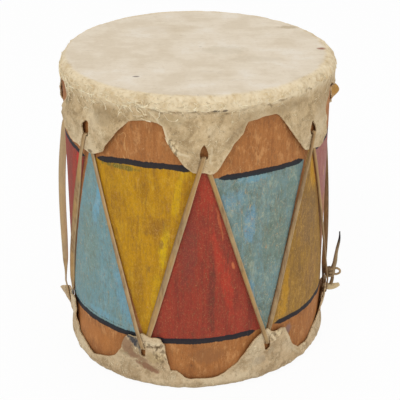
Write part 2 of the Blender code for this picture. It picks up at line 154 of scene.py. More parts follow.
# Heads: lobes are (angle, depth of the slot's lip, depth of the tip), arches are (depth, power).
# Edge lines are (angle, height) points of the cut edge where it is seen, and arches fill the rest.
topHead = {
    "node": "top_head",
    "upper": True,
    "rim": 127,
    "lobes": (
        (3.4, 54.6, 68), (54.8, 52.8, 68.4), (106.3, 52, 66), (157.7, 50, 64),
        (209.1, 53, 67), (260.6, 51, 65), (313.2, 48.3, 62),
    ),
    "arches": ((22.8, 2), (22, 1.5), (23, 1.8), (24, 2.2), (22, 1.9), (22.5, 1.2), (22, 2.4)),
    "curls": (
        (89, 9, 9, 15, 2.6), (89, 9, 27, 31, -2.6),
        (95.5, 5, 32, 43, 7.8), (95.5, 5, 43.5, 52, -7.8), (88, 4.5, 27, 33, -3),
    ),
    "slotLength": 13,
    "edge": (
        (-82, 262), (-77, 270), (-71, 275.5), (-66, 277), (-64.2, 275), (-64, 269.3), (-64.4, 262.4), (-66.3, 257.2),
        (-68, 252.1), (-69.9, 244.8), (-67.4, 238.2), (-61.7, 234.9), (-58.4, 229.5), (-54.4, 228.5), (-50.8, 228.5),
        (-47.9, 227.3), (-44.8, 226.1), (-42.3, 227), (-39.7, 229.6), (-37.4, 232.3), (-35.9, 239.3), (-33.9, 244),
        (-32, 250.5), (-30.1, 255.9), (-28.3, 259.4), (-26.5, 263.6), (-24.8, 265.1), (-21.6, 266.2), (-18.4, 267.1),
        (-16.9, 266.5), (-13.8, 265.4), (-12.3, 263.8), (-10.9, 252.4), (-9.4, 245.4), (-7.9, 240.1), (-6.4, 236.5),
        (-5.7, 233.2), (-4, 228.6), (-2.1, 225.6), (-1.1, 223.2), (0.4, 222.1), (3.8, 222.3), (5.8, 220.5),
        (7.3, 220.8), (8.3, 222.9), (9.8, 226.8), (11, 231.8), (12.5, 237.2), (14, 242.1), (14.7, 245.4),
        (16.8, 250.6), (18.8, 254.6), (20, 260), (21.6, 264), (25, 264.6), (28.4, 266), (32.1, 266.2), (34, 266.2),
        (35.9, 263.5), (38.1, 257), (40.3, 249.3), (42.6, 243.4), (45, 236.3), (47.1, 230.7), (49, 225.2),
        (50.5, 224.1), (56.3, 221.7), (58.9, 220.4), (61.3, 220.6), (64.2, 223.3), (66.5, 227), (66.9, 233.8),
        (65.6, 239.7), (67.1, 242.8), (65.5, 246.8), (65.6, 252.3), (68, 256.7), (70.8, 261.5), (74.4, 266.2),
        (79, 266), (83, 261), (86, 255), (88, 246), (90, 236.5), (94.5, 234), (98.5, 231.5), (101, 229),
    ),
    "slots": {
        313.2: ((-46.6, 256), (-45.2, 254), (-44.9, 246.8), (-45.4, 240.9), (-48.4, 240.8),
                (-48.9, 244.8), (-48.4, 251.6)),
        3.4: ((3.4, 249), (4.6, 244.8), (5.2, 238.4), (4.9, 234.5), (2.2, 234.4), (1.8, 239.2), (2.2, 244.3)),
        54.8: ((54, 249.5), (55.6, 244.9), (56.8, 240.2), (56.8, 236.2), (53.2, 236.2), (52.4, 240), (52.8, 246.4)),
    },
    # creases: (angle, height) points, width, lift and tone (above 0 a painted highlight, below 0 a painted shade)
    "creases": (
        (((-59.7, 279), (-61, 272.6), (-61.2, 262)), 1.6, 0.9, 0.8),
        (((-57.5, 279), (-58.2, 268), (-58, 262)), 2.2, -0.6, -0.5),
        (((-68.2, 252.9), (-61, 255.5), (-54.3, 259.1), (-47.3, 259.5), (-41.5, 258.6), (-34.5, 256.2)), 1.3, 0.5, 0.3),
        (((-66, 250), (-54.3, 256.6), (-47.3, 257.2)), 1.6, -0.4, -0.4),
        (((-37.3, 279.8), (-37.6, 269.9), (-37.8, 259.8)), 1.2, -0.5, -0.35),
        (((-45.3, 238.5), (-44.3, 235.4), (-41.5, 233), (-38.8, 237.1), (-37.1, 245.6)), 1.4, 0.4, 0.35),
        (((-12.2, 262), (-9.4, 248.7), (-7.9, 244.3), (-5.6, 239.9), (-2.6, 238.2)), 1.5, 0.6, 0.7),
        (((-9, 254), (-6.5, 246.5), (-3.5, 241.5)), 1.5, -0.4, -0.4),
        (((6.3, 245), (6.1, 237.6), (5.8, 231.3)), 1.2, 0.5, 0.7),
        (((9.6, 228), (12, 237.5), (16.2, 251)), 1.6, 0.3, 0.45),
        (((12.5, 246), (16.5, 256.5), (20, 263)), 3.2, -0.2, -0.3),
        (((66, 252), (65.2, 246), (66.2, 241)), 1.5, 0.5, 0.6),
        (((59, 225), (62, 229.5), (63, 236)), 1.4, 0.4, 0.4),
        (((-19, 279.5), (-16.6, 274.5), (-14.6, 269.5), (-12.8, 263.5)), 1.3, 0.9, 0.9),
        (((-22.5, 277), (-19, 272.2), (-16.5, 268), (-15, 264.5)), 1.3, -0.3, -0.3),
        (((-60, 281), (-52, 280), (-44, 280.6), (-36, 279.5), (-27, 277.5)), 1.1, 0.5, 0.8),
        (((-30.8, 282.9), (-27.5, 277.7), (-26.7, 272.7)), 1, 0.4, 0.6),
        (((33, 277), (35.5, 272), (36.8, 266)), 1.3, 0.4, 0.3),
    ),
    "lip": (
        (-180, 278), (-160, 275), (-140, 279), (-120, 277), (-100, 281), (-75, 283), (-57.8, 283.3), (-56.3, 279.5),
        (-50.7, 282.8), (-45.5, 283.7), (-39, 283.4), (-32.9, 282.6), (-24, 282.1), (-20.5, 280.5), (-16.7, 277.5),
        (-13.1, 276.9), (-9.5, 276), (-6, 277.4), (-2.4, 276.8), (1.8, 277.6), (4.7, 277.6), (8, 275.5),
        (14.4, 275.4), (18.2, 276.1), (21.5, 278.1), (27.7, 277.2), (31.7, 276.9), (38.6, 278.8), (42.5, 277.5),
        (46.6, 277.8), (49.1, 281), (53.5, 280.3), (57.2, 281.1), (60.2, 282.4), (64.6, 280), (80, 279), (95, 281),
        (115, 277), (140, 280), (160, 276), (180, 278),
    ),
    "lipStep": 1.9,
    "lumps": 0.6,
}

bottomHead = {
    "node": "bottom_head",
    "upper": False,
    "rim": 126.2,
    "lobes": (
        (32.1, 42.1, 58.5), (86, 40, 51), (136, 43, 57), (184, 42, 58),
        (235, 44, 59), (284, 43, 56), (338.3, 44.3, 58),
    ),
    "arches": ((15.5, 1.5), (16, 1.4), (15, 1.6), (16.5, 1.3), (15, 1.5), (13.8, 1.6), (13, 1.3)),
    "curls": ((86, 16, 16, 60, 2.5), (96, 5, 36, 50, 6), (277.5, 3.4, 24, 54, 10)),
    "slotLength": 12,
    "edge": (
        (-83.5, 44), (-82, 49), (-79.5, 53.5), (-76.5, 56.5), (-73, 56.2), (-70.7, 55.4), (-66.6, 56), (-65.2, 52.8),
        (-64.6, 43.6), (-65.2, 30), (-64.4, 20.7), (-59.7, 18.9), (-55.7, 17), (-52.3, 14.4), (-49.2, 13.4),
        (-46.3, 15.6), (-43.6, 17.4), (-41.2, 18.8), (-38.8, 21.1), (-36.5, 24.3), (-34.3, 30.6), (-32.1, 36.8),
        (-31.5, 43.5), (-30.4, 50), (-28.6, 53.6), (-26.4, 52.8), (-24.9, 53.8), (-23.4, 57.2), (-22.2, 58.7),
        (-21.1, 57.3), (-18.6, 55.3), (-16.6, 56), (-14.5, 55.2), (-13, 49.3), (-12.6, 47.4), (-12.4, 40.1),
        (-11.9, 34), (-11.5, 28.3), (-10.9, 24.3), (-10.6, 20.1), (-10, 21), (-7.9, 20.6), (-5.9, 17.5), (-4.3, 14.4),
        (-2.3, 13.1), (1.1, 13.4), (4.5, 13.1), (7.9, 13.5), (9.7, 14.1), (11.4, 15.8), (13.2, 17.4), (14.9, 20),
        (16.7, 22.6), (18.5, 25.1), (20.3, 30.9), (22.1, 36.5), (23.9, 43.2), (25.8, 47.5), (27.7, 50.7),
        (29.8, 53.2), (32.3, 56.1), (34.2, 51.4), (35.6, 49.9), (37.4, 50.3), (41.6, 50.1), (42.8, 44.4),
        (45.6, 31.7), (48.5, 23.2), (51.5, 17.7), (52.4, 16.1), (54.6, 16.5), (58, 15.9), (61.7, 18.2), (66, 23.2),
        (71.6, 28.6), (74.4, 36), (76.8, 43), (79, 48), (82, 51.5), (86, 53), (91, 52.5), (95.5, 49.6),
    ),
    "slots": {
        338.3: ((-22.6, 44.6), (-21, 44.6), (-20.9, 38.4), (-21.2, 33.6), (-22, 31.5),
                (-22.9, 34.4), (-23, 39.9)),
        32.1: ((30.6, 42.4), (33.7, 42.4), (33.8, 33.8), (32.2, 30.8), (31, 34)),
    },
    "creases": (
        (((-23.8, 52.5), (-22.9, 49.5), (-18.9, 48.8), (-14.7, 50.4)), 1.6, 1.5, 0.7),
        (((-23.5, 46), (-18.9, 45.4), (-14.7, 46.4), (-13.6, 48)), 1.3, -0.9, -1),
        (((-18, 41), (-15, 36), (-14.5, 28)), 1.6, 0.6, 0.3),
        (((-19, 34), (-16, 28), (-13, 22)), 1.6, -0.5, -0.4),
        (((-26.5, 50), (-25.4, 43), (-26, 36)), 1.3, 0.5, 0.5),
        (((31.9, 54.4), (34, 48.4), (36.3, 41.1)), 1.6, 0.9, 0.8),
        (((33.6, 54), (36, 47.2), (38.3, 41.1)), 1.5, -0.4, -0.4),
        (((41, 49.5), (42, 44), (44.6, 32)), 1.4, 0.4, 0.5),
        (((15.4, 6.5), (18.5, 15.2), (21, 21.4)), 1.2, -0.4, -0.35),
        (((46.6, 22.4), (49, 17.2), (51.4, 12)), 1.3, 0.8, 0.6),
        (((49.4, 14), (53, 10), (57.4, 9)), 1.3, 0.5, 0.3),
        (((-31, 44), (-29.5, 34), (-28.6, 22)), 1.8, -0.3, -0.3),
    ),
    "lip": None,
    "lipStep": 0,
    "lumps": 0.5,
}

grid = {
    "columns": 500,
    "rowStep": 1.5,
    "neckEnd": 21.0,
    "skirtEnd": 72.0,
    "snap": 0.38,  # corners this near the cut edge, in rows, are moved onto it
    "archSteps": 24,
    "tipClear": 1.2,
    "waver": ((0.17, 3.1, 2.2), (0.53, 8.7, 0.9)),  # of a guessed edge: pace, seed and size
    "slotHalf": 2.8,
    "slotShape": ((-1, 0), (-1.05, 0.4), (-0.7, 0.75), (0, 1), (0.6, 0.8), (1, 0.4), (1, 0)),
    "noiseRadius": 126,
    "rimSteps": 8,
    "skinRings": (115.5, 112.0, 106.0, 96.0, 80.0, 55.0, 25.0),
    "sharp": 55,
    "inland": 60.0,  # hide left on the rim and skin, far from any edge
}


def curlLift(head, angle, depth):
    lift = 0.0
    for centre, halfWidth, start, end, height in head["curls"]:
        spread = np.exp(-(turnBetween(angle, centre) / halfWidth) ** 2)
        lift = lift + height * spread * smoothStep(depth, start, end)
    return lift


def skirtRadius(head, angle, depth):
    flare = smoothStep(depth, *drum["flare"])
    return drum["neck"] + (drum["skirt"] - drum["neck"]) * flare + curlLift(head, angle, depth)


def heightAt(head, depth):
    return drum["height"] - depth if head["upper"] else depth


def edgeLine(head):
    # the whole cut edge as (angle, depth) points from -180 to 180
    seen = [(angle, heightAt(head, height)) for angle, height in head["edge"]]
    line = []
    lobes = head["lobes"]
    steps = grid["archSteps"]
    for index, (arch, power) in enumerate(head["arches"]):
        left = lobes[index]
        right = lobes[(index + 1) % len(lobes)]
        width = (right[0] - left[0]) % 360
        for step in range(steps):
            share = 2 * step / steps - 1
            tip = right[2] if share > 0 else left[2]
            angle = turnBetween(left[0] + width * step / steps, 0.0)
            if seen[0][0] < angle < seen[-1][0]:
                continue
            depth = arch + (tip - arch) * (1 - (1 - share * share) ** power)
            depth = min(depth, tip - grid["tipClear"])
            cut = sum(noise.noise(Vector((angle * pace, index, seed))) * size for pace, seed, size in grid["waver"])
            line.append((angle, depth + cut))
    line.sort()
    before = [point for point in line if point[0] < seen[0][0]]
    after = [point for point in line if point[0] > seen[-1][0]]
    line = before + seen + after
    return [(line[-1][0] - 360, line[-1][1])] + line + [(line[0][0] + 360, line[0][1])]


def slotShapes(head):
    shapes = []
    for angle, lip, _ in head["lobes"]:
        if angle in head["slots"]:
            shapes.append([(a, heightAt(head, h)) for a, h in head["slots"][angle]])
            continue
        centre = turnBetween(angle, 0.0)
        half = grid["slotHalf"] / arcMm
        length = head["slotLength"]
        shapes.append([(centre + half * side, lip - length * share) for side, share in grid["slotShape"]])
    return shapes


def hideDistance(head, angle, depth):
    # millimetres of hide left before its cut edge, less than 0 where it is cut away
    across = angle * arcMm
    edge = [(a * arcMm, d) for a, d in edgeLine(head)]
    shape = edge + [(edge[-1][0], -40.0), (edge[0][0], -40.0)]
    far = lineDistance(across, depth, edge)
    far = np.where(insideShape(across, depth, shape), far, -far)
    for slot in slotShapes(head):
        slot = [(a * arcMm, d) for a, d in slot]
        near = lineDistance(across, depth, slot + slot[:1])
        near = np.where(insideShape(across, depth, slot), -near, near)
        far = np.minimum(far, near)
    return far


def headSurface(head, angle, depth, hideLeft):
    # radius of the outer face below the rim, and the tone of its creases and lip: painted highlight above 0, painted
    # shade below 0
    radius = skirtRadius(head, angle, depth)
    neckShare = 1 - smoothStep(depth, drum["rimDepth"], 20.0)
    bulge = head["rim"] - drum["neck"]
    tone = np.zeros(angle.shape)
    if head["lip"]:
        lipAngles = [a for a, _ in head["lip"]]
        lipDepth = np.interp(angle, lipAngles, [heightAt(head, h) for _, h in head["lip"]])
        ring = onCylinder(angle, grid["noiseRadius"], 0)
        lipDepth = lipDepth + lumps(ring, 0.35, 4) * 2.6 + lumps(ring, 0.11, 5) * 2.0
        below = smoothStep(depth, lipDepth - 0.5, lipDepth + 0.7)
        radius = radius + bulge * neckShare * (1 - below) + (bulge - head["lipStep"]) * neckShare * below
        radius = radius - 0.5 * below * (1 - smoothStep(depth, 24.0, 30.0))
        patchy = 0.6 + lumps(ring, 0.2, 7)  # dark under the lip, pale on it
        # painted shade in a band just under the lip, and a pale band just above it
        tone = tone - 0.75 * patchy * np.exp(-((depth - lipDepth - 1.4) / 1.3) ** 2)
        tone = tone + 0.7 * patchy * np.exp(-((depth - lipDepth + 1.2) / 1.4) ** 2)
    else:
        radius = radius + bulge * neckShare
    onLobe = np.zeros(angle.shape)
    for lobe, lip, _ in head["lobes"]:
        near = 1 - smoothStep(np.abs(turnBetween(angle, lobe)), 1.9, 4.0)
        onLobe = np.maximum(onLobe, near * smoothStep(depth, lip - 9.0, lip - 3.0))
    lift = np.zeros(angle.shape)
    for points, width, height, shade in head["creases"]:
        line = [(a * arcMm, heightAt(head, h)) for a, h in points]
        near = np.exp(-(lineDistance(angle * arcMm, depth, line) / width) ** 2)
        lift += height * near
        # painted highlight along a crease where its tone is above 0, painted shade where it is below
        tone += shade * near
    spots = onCylinder(angle, grid["noiseRadius"], depth)
    wrinkle = lumps(spots, 0.075, 1) * 1.3 + lumps(spots, 0.21, 2) * 0.6
    wrinkle += lumps(spots * (1, 1, 0.35), 0.4, 3) * 0.35
    flap = smoothStep(depth, 16.0, 40.0)
    wrinkle = wrinkle * head["lumps"] * (0.7 + 1.1 * flap)
    curl = np.exp(-(np.maximum(hideLeft, 0) / 2.6) ** 2) * (0.35 + lumps(spots, 0.11, 6)) * 0.9 * flap
    lift = (lift + wrinkle + curl) * (1 - 0.9 * onLobe)
    return radius + np.maximum(lift, -0.9), tone


def makeHead(head):
    columns = grid["columns"]
    angles = -180.0 + 360.0 * np.arange(columns) / columns
    rowStep, neckEnd = grid["rowStep"], grid["neckEnd"]
    neckRows = np.arange(drum["rimDepth"], neckEnd, rowStep / 2)
    depths = np.concatenate([neckRows, np.arange(neckEnd, grid["skirtEnd"], rowStep)])
    angle, depth = np.meshgrid(angles, depths)
    left = hideDistance(head, angle, depth)
    columnStep = 360.0 / columns * arcMm
    slopeDown = np.gradient(left, depths, axis=0)
    slopeAcross = (np.roll(left, -1, axis=1) - np.roll(left, 1, axis=1)) / (2 * columnStep)
    close = (np.abs(left) < grid["snap"] * rowStep) & (depth > drum["rimDepth"] + 0.1)
    steep = np.maximum(slopeAcross ** 2 + slopeDown ** 2, 0.4)
    angle = np.where(close, angle - left * slopeAcross / steep / arcMm, angle)
    depth = np.where(close, depth - left * slopeDown / steep, depth)
    left = np.where(close, 0.0, left)

    spotAngles, spotDepths, faces = [], [], []
    known = {}

    def corner(row, column):
        key = (row, column)
        if key not in known:
            known[key] = len(spotAngles)
            spotAngles.append(angle[key])
            spotDepths.append(depth[key])
        return known[key]

    def crossing(first, second):
        key = (min(first, second), max(first, second))
        if key not in known:
            share = left[first] / (left[first] - left[second])
            known[key] = len(spotAngles)
            spotAngles.append(angle[first] + share * turnBetween(angle[second], angle[first]))
            spotDepths.append(depth[first] + share * (depth[second] - depth[first]))
        return known[key]

    for row in range(len(depths) - 1):
        for column in range(columns):
            after = (column + 1) % columns
            loop = [(row, column), (row, after), (row + 1, after), (row + 1, column)]
            if max(left[spot] for spot in loop) <= 0:
                continue
            face = []
            for here, there in zip(loop, loop[1:] + loop[:1]):
                if left[here] >= 0:
                    face.append(corner(*here))
                if left[here] * left[there] < 0:
                    face.append(crossing(here, there))
            if len(face) > 2:
                faces.append(face)
    spotAngles = np.array(spotAngles)
    spotDepths = np.array(spotDepths)
    hideLeft = hideDistance(head, turnBetween(spotAngles, 0.0), spotDepths)
    radius, tone = headSurface(head, spotAngles, spotDepths, hideLeft)
    places = onDrum(spotAngles, radius, heightAt(head, spotDepths))
    rimRow = [known[(0, column)] for column in range(columns)]
    rimReach = radius[rimRow]

    # rounded rim and flat skin, in rings from the skirt to the middle
    rings = []
    for step in range(1, grid["rimSteps"] + 1):
        turn = math.radians(90 - 90 * step / grid["rimSteps"])
        reach = drum["face"] + (rimReach - drum["face"]) * math.sin(turn)
        rings.append((reach, drum["rimDepth"] * (1 - math.cos(turn))))
    for reach in grid["skinRings"]:
        rings.append((np.full(columns, reach), 0.0))
    allPlaces = [places]
    allShading = [tone]
    allLeft = [hideLeft]
    previous = rimRow
    count = len(places)
    for reach, ringDepth in rings:
        spots = onDrum(angles, reach, ringDepth) * 1000
        bump = lumps(spots, 0.09, 11) * 1.1 + lumps(spots, 0.25, 12) * 0.55
        onRim = smoothStep(reach, drum["face"] - 8, drum["face"] + 3) * smoothStep(ringDepth, -1.5, 3.0)
        inward = (bump - 0.3) * head["lumps"] * 2.2 * onRim
        dip = 0.5 * onRim * (0.4 - bump)
        spots = onDrum(angles, reach + np.minimum(inward, 0.4), heightAt(head, ringDepth + np.maximum(dip, -0.1)))
        allPlaces.append(spots)
        allShading.append(np.zeros(columns))
        allLeft.append(np.full(columns, grid["inland"]))
        ring = list(range(count, count + columns))
        count += columns
        for column in range(columns):
            after = (column + 1) % columns
            faces.append((previous[column], ring[column], ring[after], previous[after]))
        previous = ring
    allPlaces.append(np.array([[0, 0, heightAt(head, 0.0) / 1000]]))
    allShading.append(np.zeros(1))
    allLeft.append(np.full(1, grid["inland"]))
    faces += [(previous[column], count, previous[(column + 1) % columns]) for column in range(columns)]

    mesh = bpy.data.meshes.new(head["node"] + "Hide")
    mesh.from_pydata(np.concatenate(allPlaces).tolist(), [], faces)
    # tone: the painted highlight and shade of the creases and lip, for the hide's shader
    for name, values in (("tone", allShading), ("hideLeft", allLeft)):
        layer = mesh.attributes.new(name, "FLOAT", "POINT")
        layer.data.foreach_set("value", np.concatenate(values).astype(np.float32))
    body = bmesh.new()
    body.from_mesh(mesh)
    bmesh.ops.recalc_face_normals(body, faces=body.faces)
    body.to_mesh(mesh)
    body.free()
    piece = addPiece(head["node"] + ".hide", mesh)
    skin = piece.modifiers.new("hide", "SOLIDIFY")
    skin.thickness = drum["hide"] / 1000
    skin.offset = -1.0
    skin.material_offset_rim = 1
    return piece


# Log: turned grid, uneven only inwards, so that the hide and thong keep their room
logSettings = {"columns": 220, "rows": 90, "boreRows": 24, "hewn": 0.5, "bore": 113.0, "sharp": 50}


def makeLog():
    columns, rows, bore = logSettings["columns"], logSettings["rows"], logSettings["bore"]
    foot, face, bend = drum["logFoot"], drum["face"], drum["rimRound"]
    head = drum["height"] - foot
    outer = []
    for turn in np.radians((0, 22, 45, 68)):
        outer.append((face + bend * math.sin(turn), foot + bend - bend * math.cos(turn)))
    for row in range(rows + 1):
        outer.append((drum["logRadius"], foot + bend + (head - foot - 2 * bend) * row / rows))
    for turn in np.radians((22, 45, 68, 90)):
        outer.append((face + bend * math.cos(turn), head - bend + bend * math.sin(turn)))
    inner = [(bore + 2.5, head), (bore + 0.8, head - 1), (bore, head - 3)]
    boreRows = logSettings["boreRows"]
    inner += [(bore, head - 3 - (head - foot - 6) * row / boreRows) for row in range(1, boreRows + 1)]
    inner += [(bore + 0.8, foot + 1), (bore + 2.5, foot)]
    profile = outer + inner
    angles = -180.0 + 360.0 * np.arange(columns) / columns
    places = []
    for radius, height in profile:
        spots = onDrum(angles, np.full(columns, radius), height) * 1000
        uneven = lumps(spots * (1, 1, 0.16), 0.045, 21) + 0.4 * lumps(spots * (1, 1, 0.2), 0.16, 22)
        if radius > 120:
            radius = radius + np.clip(uneven - 0.45, -1, 0) * logSettings["hewn"]
        elif radius < 114:
            chips = lumps(spots * (1, 1, 0.3), 0.09, 23)
            radius = radius - np.abs(chips) * 2.0 - 0.3
        places.append(onDrum(angles, radius + 0 * angles, height))
    places = np.concatenate(places)
    faces = []
    count = len(profile)
    for row in range(count):
        below = (row + 1) % count
        for column in range(columns):
            after = (column + 1) % columns
            near, far = row * columns, below * columns
            faces.append((near + column, near + after, far + after, far + column))
    mesh = bpy.data.meshes.new("hollowLog")
    mesh.from_pydata(places.tolist(), [], faces)
    mesh.shade_smooth()
    mesh.set_sharp_from_angle(angle=math.radians(logSettings["sharp"]))
    return addPiece("hollow_log", mesh)


# Thong: one flat strip from slot to slot, round each lip and over each flap
thong = {
    "thick": 1.5,
    "offset": 1.25,
    "lace": 124.25,
    "tipClear": 5.0,
    "overWidth": 5.5,
    "underWidth": 4.0,
    "turnWidth": 3.9,
    # slack spans: how far they bow out, degrees that they turn about themselves, width, narrowing
    "slack": {10: (5.2, 86.0, 7.2, 0.65), 3: (2.8, 62.0, 5.0, 0.2), 11: (1.2, 38.0, 5.4, 0.15)},
    "spanShare": 0.7,
    "spanSteps": 40,
    "sharp": 60,
    "section": (
        (-1, -0.35), (-0.97, 0.45), (-0.7, 0.9), (0, 1.0), (0.7, 0.9), (0.97, 0.45), (1, -0.35), (0.8, -1), (-0.8, -1),
    ),
}


def hideFrame(head, angle, depth):
    here = float(skirtRadius(head, angle, depth))
    ahead = float(skirtRadius(head, angle, depth - 1.0))
    faceward = Vector((ahead - here, heightAt(head, depth - 1.0) - heightAt(head, depth))).normalized()
    outward = Vector((faceward.y, -faceward.x)) if head["upper"] else Vector((-faceward.y, faceward.x))
    middle = Vector((here, heightAt(head, depth))) - outward * drum["hide"] / 2
    return middle, outward, faceward


def turnPoints(head, lobe, slant):
    middle, outward, faceward = hideFrame(head, lobe[0], lobe[1])
    reach = drum["hide"] / 2 + thong["offset"]
    advance = math.degrees(math.pi * reach * slant / drum["skirt"])
    points = []
    for step in range(13):
        turn = math.pi * step / 12
        normal = outward * math.cos(turn) + faceward * math.sin(turn)
        points.append((lobe[0] + advance * (step / 12 - 0.5), middle + normal * reach, normal))
    return points


def overFlap(head, angle, depth):
    middle, outward, _ = hideFrame(head, angle, depth)
    return angle, middle + outward * (drum["hide"] / 2 + thong["offset"]), outward


def tautRadius(angle, start, end):
    lace = thong["lace"]
    first = math.degrees(math.acos(min(1.0, lace / start[1])))
    last = math.degrees(math.acos(min(1.0, lace / end[1])))
    if start[0] + first < end[0] - last:
        offLog = max(start[0] + first - angle, angle - (end[0] - last), 0.0)
        return lace / math.cos(math.radians(offLog))
    fromStart = math.radians(angle - start[0])
    toEnd = math.radians(end[0] - angle)
    across = start[1] * math.sin(fromStart) + end[1] * math.sin(toEnd)
    return start[1] * end[1] * math.sin(fromStart + toEnd) / across


def thongPath():
    # rows of the strip: middle, outward way and width, once round the drum
    stops = []
    for top, bottom in zip(topHead["lobes"], bottomHead["lobes"]):
        stops += [(topHead, top), (bottomHead, bottom)]
    logLength = drum["height"] - 2 * drum["logFoot"]
    slant = drum["logRadius"] * math.radians(180 / 7) / (logLength * thong["spanShare"])
    rows = []
    for index, (head, lobe) in enumerate(stops):
        nextHead, nextLobe = stops[(index + 1) % len(stops)]
        if nextLobe[0] < lobe[0]:
            nextLobe = (nextLobe[0] + 360, *nextLobe[1:])
        turn = turnPoints(head, lobe, slant)
        rows += [(*row, thong["turnWidth"], 0.0) for row in turn]
        startAngle, start, _ = turn[-1]
        endAngle, lipEnd, _ = turnPoints(nextHead, nextLobe, slant)[0]
        nearTip = nextLobe[2] + thong["tipClear"]
        nearHeight = heightAt(nextHead, nearTip)
        tipAngle = startAngle + (endAngle - startAngle) * (nearHeight - start.y) / (lipEnd.y - start.y)
        end = overFlap(nextHead, tipAngle, nearTip)
        bow, most, slackWidth, narrowing = thong["slack"].get(index, (0.0, 0.0, 0.0, 0.0))
        width = thong["underWidth"] if index % 2 == 0 else thong["overWidth"]
        for step in range(1, thong["spanSteps"]):
            share = step / thong["spanSteps"]
            angle = startAngle + (tipAngle - startAngle) * share
            radius = tautRadius(angle, (startAngle, start.x), (tipAngle, end[1].x))
            radius += bow * math.sin(math.pi * share ** 0.8) ** 1.6
            height = start.y + (nearHeight - start.y) * share
            grow = min(1.0, 6 * share, 4 * (1 - share))
            sway = noise.noise(Vector((index * 9.1, share * 4.0, 0.5))) * 0.5
            breadth = thong["turnWidth"] + (width - thong["turnWidth"]) * grow + sway
            twist = 0.0
            if bow:
                turned = float(smoothStep(share, 0.06, 0.17) * (1 - smoothStep(share, 0.85, 0.99)))
                twist = most * turned
                breadth += (slackWidth - width) * turned * (1 - narrowing * share * share)
            rows.append((angle + sway * 0.16, Vector((radius, height)), Vector((1.0, 0.0)), breadth, twist))
        rows.append((*end, thong["turnWidth"], 0.0))
        for share in (0.25, 0.5, 0.75):
            depth = nearTip + (nextLobe[1] - nearTip) * share
            spot = overFlap(nextHead, tipAngle + (endAngle - tipAngle) * share, depth)
            rows.append((*spot, thong["turnWidth"], 0.0))
    return rows


def sweep(body, rows, closed, section, marks):
    # strip or strand through (middle, sideways, outward) rows; marks are (across, along) for each corner
    across = body.verts.layers.float.get("across")
    tip = body.verts.layers.float.get("tip")
    loops = []
    for index, (middle, sideways, outward) in enumerate(rows):
        loop = []
        for side, out in section:
            vertex = body.verts.new(middle + sideways * side + outward * out)
            vertex[across] = side
            vertex[tip] = marks[index]
            loop.append(vertex)
        loops.append(loop)
    count = len(section)
    for index in range(len(rows) if closed else len(rows) - 1):
        near = loops[index]
        far = loops[(index + 1) % len(rows)]
        for corner in range(count):
            after = (corner + 1) % count
            body.faces.new((near[corner], near[after], far[after], far[corner]))
    if not closed:
        body.faces.new(loops[0])
        body.faces.new(loops[-1])


def strandRows(points, radii, flat, closed):
    rows = []
    count = len(points)
    last = None
    for index, point in enumerate(points):
        ahead = points[(index + 1) % count] if closed or index < count - 1 else point
        behind = points[index - 1] if closed or index else point
        along = (ahead - behind).normalized()
        outward = Vector((point.x, point.y, 0)).normalized()
        sideways = along.cross(outward)
        if sideways.length < 0.2:
            sideways = last or along.orthogonal()
        if last and sideways.dot(last) < 0:
            sideways.negate()
        last = sideways.normalized()
        outward = last.cross(along).normalized()
        rows.append((point, last * radii[index], outward * radii[index] * flat))
    return rows


def ringOf(centre, across, upward, radius, count, seed, rough):
    points = []
    for step in range(count):
        turn = 2 * math.pi * step / count
        way = across * math.cos(turn) + upward * math.sin(turn)
        wave = noise.noise(Vector((math.cos(turn), math.sin(turn), seed))) * rough
        points.append(centre + way * (radius + wave) + across.cross(upward) * wave * 0.8)
    return points


knot = {
    "angle": 86.0,
    "height": 61.5,
    "reach": 132.0,
    "radius": 3.9,
    # lean in degrees, rise, radius, thickness and seed of each wrap
    "wraps": ((28, 2.2, 3.9, 1.8, 1), (-21, -2.2, 3.6, 1.8, 2), (8, 0.1, 4.3, 1.7, 3), (-48, -0.4, 3.9, 1.6, 4)),
    "binding": (3.6, 3.4, 1.7),  # how far out, radius and thickness
    "fold": (44.8, 16.8, -6.5),  # height, length and where it starts
    "neck": (14.0, 1.9),  # length and thickness
    "tail": (141.0, 106.0),  # reach and height of its tip
    "loop": (3.4, 1.25),  # radius and thickness
}
roundSection = [(math.cos(math.radians(t)), math.sin(math.radians(t))) for t in range(0, 360, 36)]
squareSection = [(1, 0), (0, 1), (-1, 0), (0, -1)]


def strand(body, points, radii, flat, closed=False, marks=0.0, section=roundSection):
    # one radius or mark may stand for all of them
    radii, marks = (value if isinstance(value, list) else [value] * len(points) for value in (radii, marks))
    sweep(body, strandRows(points, radii, flat, closed), closed, section, marks)


def laceThong(body):
    spots, marks = [], []
    for angle, place, normal, width, twist in thongPath():
        turn = math.radians(angle + twist)
        outward = Vector((normal.x * math.sin(turn), -normal.x * math.cos(turn), normal.y))
        spots.append((spotOn(angle, place.x, place.y), outward, width))
        marks.append(-0.13 * min(1.0, max(0.0, twist - 64.0) / 16.0))  # the slack span is paler
    rows = []
    last = None
    for index, (middle, outward, width) in enumerate(spots):
        along = spots[(index + 1) % len(spots)][0] - spots[index - 1][0]
        sideways = outward.cross(along).normalized()
        if last and sideways.dot(last) < 0:
            sideways.negate()
        last = sideways
        rows.append((middle, sideways * width / 2, outward.normalized() * thong["thick"] / 2))
    sweep(body, rows, True, thong["section"], marks)


